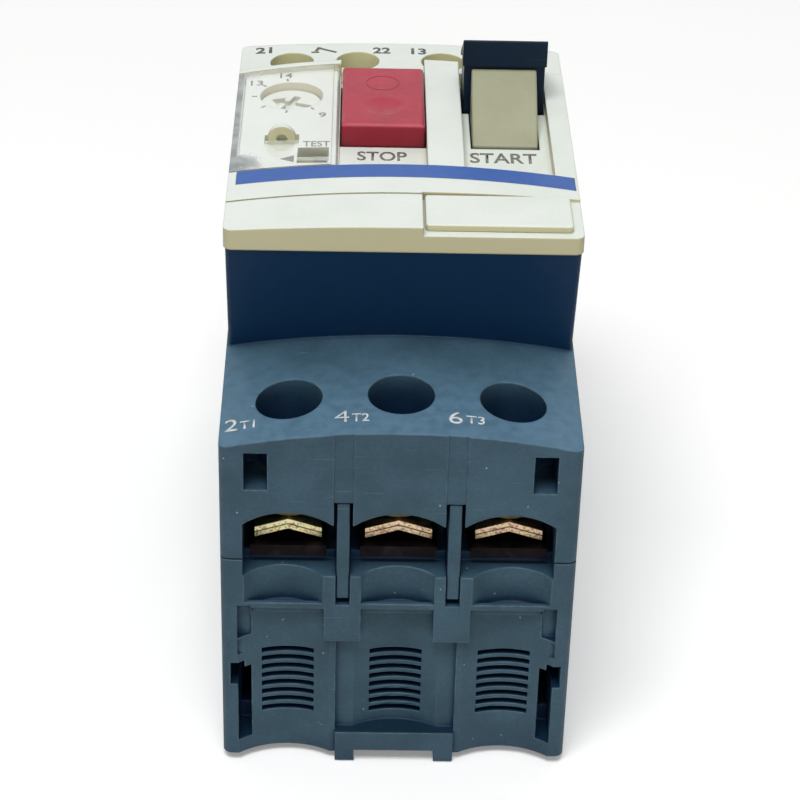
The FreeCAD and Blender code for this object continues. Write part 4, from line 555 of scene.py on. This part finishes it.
def sheared(tree, where, rough_cut):
    spots = add(tree, "TexCoord").outputs
    ahead = add(tree, "SeparateXYZ", {"Vector": spots["Normal"]}).outputs["Y"]
    cut = add(tree, "Math", {0: ahead}, operation="ABSOLUTE").outputs[0]
    torn = add(tree, "TexNoise", {"Vector": where, "Scale": per_mm(TORN_MM), "Detail": 3.0}).outputs["Fac"]
    # Generated coordinates run from 0 to 1 over the pair.
    share = add(tree, "SeparateXYZ", {"Vector": spots["Generated"]}).outputs
    aside = add(tree, "Math", {0: share["X"], 1: 0.5}, operation="SUBTRACT")
    aside = add(tree, "Math", {0: aside.outputs[0]}, operation="ABSOLUTE")
    climb = add(tree, "MapRange", {"Value": aside.outputs[0], "From Max": 0.5,
                                   "To Min": SEAM_MIDDLE_MM / PAIR_MM, "To Max": SEAM_END_MM / PAIR_MM})
    off = add(tree, "Math", {0: share["Z"], 1: climb.outputs["Result"]}, operation="SUBTRACT")
    off = add(tree, "Math", {0: off.outputs[0]}, operation="ABSOLUTE")
    on_cut = Mask(cut, low=0.0, high=1.0)
    coats = [(TORN, Mask(torn, low=0.5, high=0.36, most=rough_cut), on_cut),
             (SEAM, Mask(off.outputs[0], low=0.05, high=0.02, most=0.9), on_cut)]
    return cut, torn, coats


print("the seam climbs", round(SEAM_MIDDLE_MM - SEAM_END_MM, 2), "mm")

# %% [markdown]
# One recipe serves plated and bare metal. A colour ramp over a noise gives the shimmer of the film,
# and stamped metal has fine lines along the rolling direction, so the noise for the bump is
# stretched along Y. The lines are drawn coarser than real ones, so that they show. Deep in the
# clamps, where a point sees little of the room, the colour is painted dark: painted shade.

# %% One recipe for plated and bare metal
FILM_LOW, FILM_HIGH = 0.32, 0.68
ROLLED_MM = 0.15
ROLLED_STRETCH = (1.0, 0.06, 1.0)
ROLLED_DEPTH_MM = 0.01
ROLLED_STRENGTH = 0.35
RIDGE_GLOSS, GROOVE_GLOSS = -0.08, 0.1
CLAMP_SHADE = "#0E0B08"
CLAMP_SHADE_MM = 5


def stamped(name, colours, rough, patch_mm, painted_shade=0.0, rough_cut=0.0):
    material, tree, shader, where = begin(name)
    film = add(tree, "TexNoise", {"Vector": where, "Scale": per_mm(patch_mm), "Detail": 4.0})
    ramp = add(tree, "ValToRGB", {"Fac": film.outputs["Fac"]})
    stops = ramp.color_ramp.elements
    while len(stops) < len(colours):
        stops.new(0.5)
    for i, colour in enumerate(colours):
        stops[i].position = FILM_LOW + (FILM_HIGH - FILM_LOW) * i / (len(colours) - 1)
        stops[i].color = linear(colour)
    rolled = add(tree, "Mapping", {"Vector": where, "Scale": ROLLED_STRETCH})
    lines = add(tree, "TexNoise", {"Vector": rolled.outputs[0], "Scale": per_mm(ROLLED_MM), "Detail": 2.0})
    height = lines.outputs["Fac"]
    coats = []
    # Painted shade: darker where a point sees little of the room within a few millimetres.
    if painted_shade:
        sky = add(tree, "AmbientOcclusion", {"Distance": CLAMP_SHADE_MM * MM}, samples=8).outputs["AO"]
        coats.append((CLAMP_SHADE, Mask(sky, low=0.5, high=0.2, most=painted_shade)))
    if rough_cut:
        cut, torn, cut_coats = sheared(tree, where, rough_cut)
        coats += cut_coats
        height = add(tree, "Mix", {"Factor": cut, "A": height, "B": torn}).outputs["Result"]
    bump = add(tree, "Bump", {"Height": height, "Distance": ROLLED_DEPTH_MM * MM,
                              "Strength": ROLLED_STRENGTH})
    gloss = add(tree, "MapRange", {"Value": lines.outputs["Fac"], "From Min": NOISE_LOW,
                                   "From Max": NOISE_HIGH, "To Min": rough + RIDGE_GLOSS,
                                   "To Max": rough + GROOVE_GLOSS})
    tree.links.new(lay_coats(tree, ramp.outputs["Color"], coats), shader.inputs["Base Color"])
    tree.links.new(gloss.outputs["Result"], shader.inputs["Roughness"])
    tree.links.new(bump.outputs["Normal"], shader.inputs["Normal"])
    shader.inputs["Metallic"].default_value = 1.0
    return material


print("one recipe for all metals, rolling lines", ROLLED_MM, "mm apart")

# %% [markdown]
# At each end two pairs of clamp plates shimmer pink and one pair is gold, as the coat's thickness
# differs from bath to bath. The main clamp screws sit deep and get a darker copy of the zinc,
# painted shade, and the plates and screws get painted shade in the depth of the clamps.

# %% Dress the metal pieces
GOLD = ("#EBDD9C", "#F2E8B4", "#DAD7A8")
PINK = ("#E6C19A", "#EDD6B0", "#DDAF98")


def numbered(stem, count):
    return ["%s_%d" % (stem, n + 1) for n in range(count)]


gold_zinc = stamped("yellow_passivated_zinc", GOLD, rough=0.42, patch_mm=1.2)
gold_plates = stamped("yellow_zinc_sheared_plates", GOLD, rough=0.42, patch_mm=1.2, painted_shade=0.9,
                      rough_cut=0.7)
pink_plates = stamped("pink_zinc_sheared_plates", PINK, rough=0.42, patch_mm=1.0, painted_shade=0.9,
                      rough_cut=0.7)
# A darker copy of the zinc for the deep clamp screws: painted shade.
shaded_zinc = stamped("zinc_screws_with_painted_shade", ("#6A6348", "#7A7354", "#565038"), rough=0.5, patch_mm=1.0,
                     painted_shade=0.9)
steel = stamped("bare_spring_steel", ("#A3A5A6", "#B5B7B8"), rough=0.35, patch_mm=2.0)
copper = stamped("tarnished_copper", ("#211C1E", "#1A1719", "#2B2325"), rough=0.55, patch_mm=2.5)
dress(gold_zinc, *numbered("aux_screw", 4), *numbered("aux_washer", 4))
dress(gold_plates, "load_washers_1", "line_washers_3")
dress(shaded_zinc, *numbered("load_screw", 3), *numbered("line_screw", 3))
dress(pink_plates, "load_washers_2", "load_washers_3", "line_washers_1", "line_washers_2")
dress(steel, "stop_spring", "start_spring", "rail_latch_spring", "contact_springs", "arc_plates",
      "coil_yokes", "mechanism_plate", "trip_lever_pin", "latch_pin", *numbered("trip_plunger", 3))
dress(copper, "load_bars", "line_bars", "load_fixed_contacts", "moving_contacts", "trip_coils",
      "bimetals", "heaters", "aux_terminals")
print("six metal finishes on the terminals and the works")

# %% [markdown]
# ## Return springs
#
# Three springs push back: under the stop button, under the start button and behind the rail latch.
# A compression spring is wound from round wire, with a turn lying flat at each end. The wire is
# swept along its helix ring by ring, and each ring is joined to the next by a band of quads.

# %% Sweep the wire of a coil
TURN_STEPS = 24
WIRE_SIDES = 8


def coil_rise(turn, turns, thick, free):
    # Flat turns at both ends rise by one wire each, the turns between share the rest.
    inner = (free - 2 * thick) / (turns - 2)
    wound = min(max(turn - 1, 0), turns - 2)
    return thick * min(turn, 1) + inner * wound + thick * max(turn - turns + 1, 0)


def coil_mesh(name, foot, axis, radius, thick, free, turns):
    first, second = [i for i in (0, 1, 2) if i != axis]
    rings = turns * TURN_STEPS
    points, faces = [], []
    for ring in range(rings + 1):
        turn = ring / TURN_STEPS
        angle = 2 * math.pi * turn
        for side in range(WIRE_SIDES):
            spin = 2 * math.pi * side / WIRE_SIDES
            out = radius + thick / 2 * math.cos(spin)
            place = list(foot)
            place[first] += out * math.cos(angle)
            place[second] += out * math.sin(angle)
            place[axis] += coil_rise(turn, turns, thick, free) + thick / 2 * math.sin(spin)
            points.append(place)
    for ring in range(rings):
        for side in range(WIRE_SIDES):
            a, b = ring * WIRE_SIDES + side, ring * WIRE_SIDES + (side + 1) % WIRE_SIDES
            faces.append((a, b, b + WIRE_SIDES, a + WIRE_SIDES))
    faces.append(tuple(range(WIRE_SIDES)))
    faces.append(tuple(reversed(range(rings * WIRE_SIDES, (rings + 1) * WIRE_SIDES))))
    mesh = bpy.data.meshes.new(name)
    mesh.from_pydata(points, [], faces)
    shape = bmesh.new()
    shape.from_mesh(mesh)
    bmesh.ops.recalc_face_normals(shape, faces=shape.faces)
    shape.to_mesh(mesh)
    shape.free()
    mesh.shade_smooth()
    return mesh


print("a turn of wire has", TURN_STEPS * WIRE_SIDES, "quads")

# %% [markdown]
# The coil fills the box of the plain spring that it replaces, apart from a hair of room at both ends.

# %% Wind the springs
END_GAP_MM = 0.02


def wind(node, axis, wire, turns):
    low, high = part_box(node)
    middle = [(low[i] + high[i]) / 2 for i in (0, 1, 2)]
    thick = wire * MM
    radius = (high[0] - low[0]) / 2 - thick / 2
    length = high[axis] - low[axis] - 2 * END_GAP_MM * MM
    foot = list(middle)
    foot[axis] = low[axis] + END_GAP_MM * MM + thick / 2
    mesh = coil_mesh(node + "_coil", foot, axis, radius, thick, length - thick, turns)
    mesh.materials.append(steel)
    coil = bpy.data.objects.new(node + "_coil", mesh)
    bpy.context.scene.collection.objects.link(coil)
    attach(coil, "housing")
    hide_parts(node)
    direction, anchor = [0, 0, 0], list(middle)
    direction[axis] = 1
    anchor[axis] = low[axis]
    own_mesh(coil)
    print(node, "of", round(length / MM, 1), "mm with", turns, "turns")


wind("stop_spring", axis=2, wire=0.5, turns=4)
wind("start_spring", axis=2, wire=0.5, turns=6)
wind("rail_latch_spring", axis=1, wire=0.4, turns=6)

# %% [markdown]
# ## Printed signs
#
# STOP and START, the terminal numbers and the dial's scale are pad-printed: a film of ink a few
# hundredths of a millimetre thick. The ink is matt and worn thin in places.

# %% Inks
INK_WEAR_MM = 0.5
INK_ROUGH = 0.5


def ink(name, colour, thin):
    material, tree, shader, where = begin(name)
    worn = add(tree, "TexNoise", {"Vector": where, "Scale": per_mm(INK_WEAR_MM), "Detail": 4.0})
    paint = lay_coats(tree, linear(colour), [(thin, Mask(worn.outputs["Fac"], low=0.4, high=0.75))])
    tree.links.new(paint, shader.inputs["Base Color"])
    shader.inputs["Roughness"].default_value = INK_ROUGH
    return material


grey_ink = ink("grey_pad_ink", "#66655F", "#8A8981")
white_ink = ink("white_pad_ink", "#D9DEDE", "#B4BDC0")
groove_red = ink("groove_shadow_red", "#86202C", "#922633")
dark_ink = ink("dark_pad_ink", "#474743", "#5E5E58")
print("four inks")

# %% [markdown]
# Each sign starts as a flat mesh and is dropped onto the surface that carries it, point by point,
# so that it follows the crown of the face. A ray is cast down for every point, from just above
# the carrier, and the film then gets its thickness from a modifier. The heights that rays start
# from are in millimetres.

# %% Lay a flat mesh on the piece that carries it
INK_MM = 0.025
INK_LIFT = 0.6
FACE_Z, FIELD_Z, SHOULDER_Z, AUX_Z, STOP_Z = 69, 68.25, 60, 72, 73
DOWN = Vector((0, 0, -1))


def lay(name, mesh, carrier, body, material, start_z):
    piece = bpy.data.objects.new(name, mesh)
    bpy.context.scene.collection.objects.link(piece)
    for point in mesh.vertices:
        above = Vector((point.co.x, point.co.y, start_z * MM))
        hit, place, normal, _ = nodes[carrier].ray_cast(above, DOWN)
        if not hit:
            raise ValueError(name + " misses " + carrier)
        point.co = place + normal * (INK_MM * INK_LIFT * MM)
    film = piece.modifiers.new("ink film", "SOLIDIFY")
    film.thickness = INK_MM * MM
    film.offset = 0.0
    mesh.materials.append(material)
    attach(piece, body)


print("ink films are", INK_MM, "mm thick")

# %% [markdown]
# Words and numbers are text curves turned into meshes and stretched to the measured width and
# height. `bold` grows the outline of the letters, in parts of the font's size.

# %% Turn words into meshes
LETTER_STEPS = 4


def text_mesh(name, words, x, y, bold):
    curve = bpy.data.curves.new(name, "FONT")
    curve.body = words
    curve.resolution_u = LETTER_STEPS
    curve.offset = bold
    holder = bpy.data.objects.new(name, curve)
    mesh = bpy.data.meshes.new_from_object(holder)
    bpy.data.objects.remove(holder)
    xs = [point.co.x for point in mesh.vertices]
    ys = [point.co.y for point in mesh.vertices]
    left, right, bottom, top = min(xs), max(xs), min(ys), max(ys)
    wide, high = x[1] - x[0], y[1] - y[0]
    middle = Vector((sum(x) / 2 * MM, sum(y) / 2 * MM, 0))
    for point in mesh.vertices:
        across = ((point.co.x - left) / (right - left) - 0.5) * wide * MM
        up = ((point.co.y - bottom) / (top - bottom) - 0.5) * high * MM
        point.co = middle + Vector((across, up, 0))
    return mesh


print("words become meshes of a given width and height")

# %% [markdown]
# The places below are the measured limits of each sign in x and in y, in millimetres. The load end
# has the even terminal numbers and the line end the odd ones. Signs with the same carrier and ink
# make a group, and a group also has the height to cast rays from and its boldness.

# %% Print the words and numbers
COVER_WORDS = [("stop_word", "STOP", (-5.9, 0.6), (-5.1, -2.5)),
               ("start_word", "START", (8.85, 17.6), (-5.3, -2.4))]
FIELD_WORDS = [("test_word", "TEST", (-12.95, -9.4), (-3.7, -2.1))]
TERMINALS = [("load_2", "2", (-21.6, -20.0), (-41.4, -39.0)),
             ("load_t1", "T1", (-19.75, -17.9), (-41.3, -39.7)),
             ("load_4", "4", (-8.2, -6.4), (-41.8, -39.4)),
             ("load_t2", "T2", (-6.1, -3.95), (-41.75, -40.1)),
             ("load_6", "6", (5.75, 7.45), (-41.85, -39.4)),
             ("load_t3", "T3", (7.85, 10.15), (-41.6, -40.0)),
             ("line_1", "1", (-21.05, -20.7), (39.0, 41.4)),
             ("line_l1", "L1", (-19.75, -17.9), (39.2, 40.8)),
             ("line_3", "3", (-8.1, -6.6), (39.2, 41.6)),
             ("line_l2", "L2", (-6.1, -3.95), (39.4, 41.05)),
             ("line_5", "5", (5.85, 7.35), (39.2, 41.6)),
             ("line_l3", "L3", (7.85, 10.15), (39.4, 41.0))]
AUX_NUMBERS = [("aux_21", "21", (-20.3, -18.0), (24.9, 26.9)),
               ("aux_22", "22", (-3.9, -1.45), (24.3, 26.3)),
               ("aux_13", "13", (1.45, 3.55), (24.2, 26.2)),
               ("aux_14", "14", (18.3, 20.4), (24.6, 26.6))]
SIGNS = [(COVER_WORDS, "front_cover", grey_ink, FACE_Z, 0.016),
         (FIELD_WORDS, "front_cover", dark_ink, FIELD_Z, 0.014),
         (TERMINALS, "upper_housing", white_ink, SHOULDER_Z, 0.012),
         (AUX_NUMBERS, "aux_housing", dark_ink, AUX_Z, 0.03)]
# The large terminal numbers have thinner lines than the letters beside them.
THINNER = {"2": 0.004, "4": -0.009, "6": 0.002, "1": 0.002, "3": 0.002, "5": 0.002}
for group, carrier, material, start_z, bold in SIGNS:
    for name, words, x, y in group:
        mesh = text_mesh(name, words, x, y, THINNER.get(words, bold))
        lay(name, mesh, carrier, "housing", material, start_z)
print("printed", sum(len(group) for group, *_ in SIGNS), "signs")

# %% [markdown]
# ## The dial's scale
#
# Ticks are drawn as short strokes: each stroke is a quad between two points, of a given width.
# The dial runs clockwise over 207 degrees, with a tick for each whole number, and only three
# of the numbers are printed. Radii and letter sizes are in millimetres.

# %% Dial scale
DIAL_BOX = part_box("setting_dial")
DIAL_CENTRE = [(DIAL_BOX[0][i] + DIAL_BOX[1][i]) / 2 / MM for i in (0, 1)]
DIAL_FIRST, DIAL_LAST = 9, 14
DIAL_START_DEGREES = -55
DIAL_STEP_DEGREES = 41.4
TICK_RADII = (4.65, 5.35)
TICK_MM = 0.28
NUMBER_RADII = {9: 7.4, 13: 6.4, 14: 6.5}
DIGIT_HALVES = {1: 0.5, 2: 0.85}
NUMBER_HALF_HIGH = 0.75
NUMBER_BOLD = 0.012


def around(centre, radius, degrees):
    angle = math.radians(degrees)
    return centre[0] + radius * math.cos(angle), centre[1] + radius * math.sin(angle)


def stroke_mesh(name, strokes, width):
    corners, faces = [], []
    for (ax, ay), (bx, by) in strokes:
        along = Vector((bx - ax, by - ay, 0)).normalized()
        across = Vector((-along.y, along.x, 0)) * (width / 2)
        first = len(corners)
        for px, py, sign in ((ax, ay, 1), (bx, by, 1), (bx, by, -1), (ax, ay, -1)):
            corners.append((Vector((px, py, 0)) + across * sign) * MM)
        faces.append((first + 3, first + 2, first + 1, first))
    mesh = bpy.data.meshes.new(name)
    mesh.from_pydata(corners, [], faces)
    return mesh


dial_degrees = {value: DIAL_START_DEGREES - DIAL_STEP_DEGREES * (value - DIAL_FIRST)
                for value in range(DIAL_FIRST, DIAL_LAST + 1)}
ticks = [[around(DIAL_CENTRE, radius, a) for radius in TICK_RADII] for a in dial_degrees.values()]
lay("dial_ticks", stroke_mesh("dial_ticks", ticks, TICK_MM), "front_cover", "housing", dark_ink, FIELD_Z)
for value, radius in NUMBER_RADII.items():
    x, y = around(DIAL_CENTRE, radius, dial_degrees[value])
    half = DIGIT_HALVES[len(str(value))]
    limits = (x - half, x + half), (y - NUMBER_HALF_HIGH, y + NUMBER_HALF_HIGH)
    mesh = text_mesh("dial_%d" % value, str(value), *limits, NUMBER_BOLD)
    lay("dial_%d" % value, mesh, "front_cover", "housing", dark_ink, FIELD_Z)
print("dial scale from", DIAL_FIRST, "to", DIAL_LAST)

# %% [markdown]
# ## Arrow, contact sign and the ring on the stop button
#
# A small arrow stands beside the test slot, and three strokes between the auxiliary numbers mean a
# contact. A fine ring is engraved in the far half of the stop button. It is only a hairline,
# so a thin band in the colour of the groove's shadow reads as the engraving.

# %% Arrow, contact sign and stop ring
ARROW_MM = [(-15.8, -7.2, 0), (-14.0, -8.15, 0), (-14.0, -6.25, 0)]
CONTACT_MM = [((-12.5, 24.8), (-11.4, 24.8)), ((-11.7, 26.3), (-9.0, 24.7)),
              ((-11.9, 25.2), (-11.3, 26.4))]
CONTACT_STROKE_MM = 0.45
RING_STEPS = 64
RING_CENTRE_MM = (-2.6, 11.7)
RING_RADII_MM = (2.1, 2.28)
arrow = bpy.data.meshes.new("test_arrow")
arrow.from_pydata([Vector(corner) * MM for corner in ARROW_MM], [], [(0, 1, 2)])
lay("test_arrow", arrow, "front_cover", "housing", dark_ink, FIELD_Z)
contact = stroke_mesh("contact_sign", CONTACT_MM, CONTACT_STROKE_MM)
lay("contact_sign", contact, "aux_housing", "housing", dark_ink, AUX_Z)

ring_mesh = bpy.data.meshes.new("stop_ring")
ring_points = [Vector((*around(RING_CENTRE_MM, radius, 360 * i / RING_STEPS), 0)) * MM
               for radius in RING_RADII_MM for i in range(RING_STEPS)]
ring_faces = [(i, (i + 1) % RING_STEPS, RING_STEPS + (i + 1) % RING_STEPS, RING_STEPS + i)
              for i in range(RING_STEPS)]
ring_mesh.from_pydata(ring_points, [], ring_faces)
lay("stop_ring", ring_mesh, "stop_button", "stop", groove_red, STOP_Z)
print("arrow, contact sign and a ring of", RING_STEPS, "quads")

# %% [markdown]
# ## Floor, light and camera
#
# The switch lies on a plain pale paper floor that fades into a white background. The floor and the
# world look white to the camera, in mirrors and through the window, but send less light back to
# the switch, so that the undercut walls stay dark. The floor is metres wide, and a hair below the
# switch, so that the two don't flicker where they touch.

# %% Floor
FLOOR_REACH = 3.0
FLOOR_DROP_MM = 0.2
FLOOR_GLOW = 0.2
FLOOR_ROUGH = 0.9
FIBRE_MM = 1.5
WHITE = (1, 1, 1, 1)


def seen_directly(tree):
    rays = add(tree, "LightPath").outputs
    seen = rays["Is Camera Ray"]
    for kind in ("Is Glossy Ray", "Is Transmission Ray"):
        seen = add(tree, "Math", {0: seen, 1: rays[kind]}, operation="MAXIMUM").outputs[0]
    return seen


paper, tree, shader, where = begin("white_paper_floor")
fibres = add(tree, "TexNoise", {"Vector": where, "Scale": per_mm(FIBRE_MM), "Detail": 4.0})
tint = lay_coats(tree, linear("#F1F1F0"), [("#F6F6F6", Mask(fibres.outputs["Fac"], low=0.0, high=1.0))])
bounce = add(tree, "Mix", {"Factor": seen_directly(tree), "A": linear("#C8C8C8"), "B": tint},
             data_type="RGBA")
to_camera = add(tree, "LightPath").outputs["Is Camera Ray"]
glow = add(tree, "Math", {0: to_camera, 1: FLOOR_GLOW}, operation="MULTIPLY")
tree.links.new(bounce.outputs["Result"], shader.inputs["Base Color"])
tree.links.new(glow.outputs[0], shader.inputs["Emission Strength"])
shader.inputs["Emission Color"].default_value = WHITE
shader.inputs["Roughness"].default_value = FLOOR_ROUGH

floor_mesh = bpy.data.meshes.new("studio_floor")
floor_corners = [(x * FLOOR_REACH, y * FLOOR_REACH, 0) for x, y in ((-1, -1), (1, -1), (1, 1), (-1, 1))]
floor_mesh.from_pydata(floor_corners, [], [(0, 1, 2, 3)])
floor_mesh.materials.append(paper)
floor = bpy.data.objects.new("studio_floor", floor_mesh)
bpy.context.scene.collection.objects.link(floor)
floor.location.z = -FLOOR_DROP_MM * MM
print("floor", 2 * FLOOR_REACH, "m wide")

# %% [markdown]
# A soft key light high above the near end, a weak one behind, a low fill in front and an even white
# world give the flat light of a product picture. Places and sizes of the lights are in metres, and
# their power is in watts.

# %% World and lamps
WORLD_LIGHT = 0.3
AIM = Vector((0, 0, 0.05))
world = bpy.data.worlds.new("white_studio")
bpy.context.scene.world = world
world.use_nodes = True
tree = world.node_tree
background = tree.nodes["Background"]
level = add(tree, "MapRange", {"Value": seen_directly(tree), "To Min": WORLD_LIGHT, "To Max": 1.0})
tree.links.new(level.outputs["Result"], background.inputs["Strength"])
background.inputs["Color"].default_value = WHITE


def soft_light(name, place, size, power):
    lamp = bpy.data.lights.new(name, "AREA")
    lamp.shape = "RECTANGLE"
    lamp.size, lamp.size_y = size
    lamp.energy = power
    holder = bpy.data.objects.new(name, lamp)
    bpy.context.scene.collection.objects.link(holder)
    holder.location = place
    holder.rotation_euler = (AIM - Vector(place)).to_track_quat("-Z", "Y").to_euler()


soft_light("key_light", place=(-0.10, -0.36, 0.86), size=(0.45, 0.35), power=6.0)
soft_light("back_light", place=(0.10, 0.50, 0.85), size=(0.6, 0.5), power=0.7)
soft_light("fill_light", place=(0.25, -0.95, 0.15), size=(0.5, 0.2), power=1.25)
print("three soft lights")

# %% [markdown]
# The camera stands where the photograph was taken from. Its eye and its right and up directions were
# fitted to the corners of the switch in the photograph. The view transform is Standard, which
# shows each colour about as it was written.

# %% Camera
EYE = Vector((-5.99, -301.68, 216.57)) * MM
RIGHT = Vector((0.99972, -0.00790, 0.02242))
UP = Vector((-0.01482, 0.53033, 0.84766))
FOCAL_MM = 114.2
SENSOR_MM = 36.0
NEAREST_MM = 10
lens = bpy.data.cameras.new("photo_camera")
lens.lens = FOCAL_MM
lens.sensor_width = SENSOR_MM
lens.clip_start = NEAREST_MM * MM
camera = bpy.data.objects.new("photo_camera", lens)
bpy.context.scene.collection.objects.link(camera)
looking = Matrix((RIGHT, UP, RIGHT.cross(UP))).transposed().to_4x4()
camera.matrix_world = Matrix.Translation(EYE) @ looking
bpy.context.scene.camera = camera
bpy.context.scene.view_settings.view_transform = "Standard"
print("camera at", [round(c / MM, 1) for c in EYE], "mm")
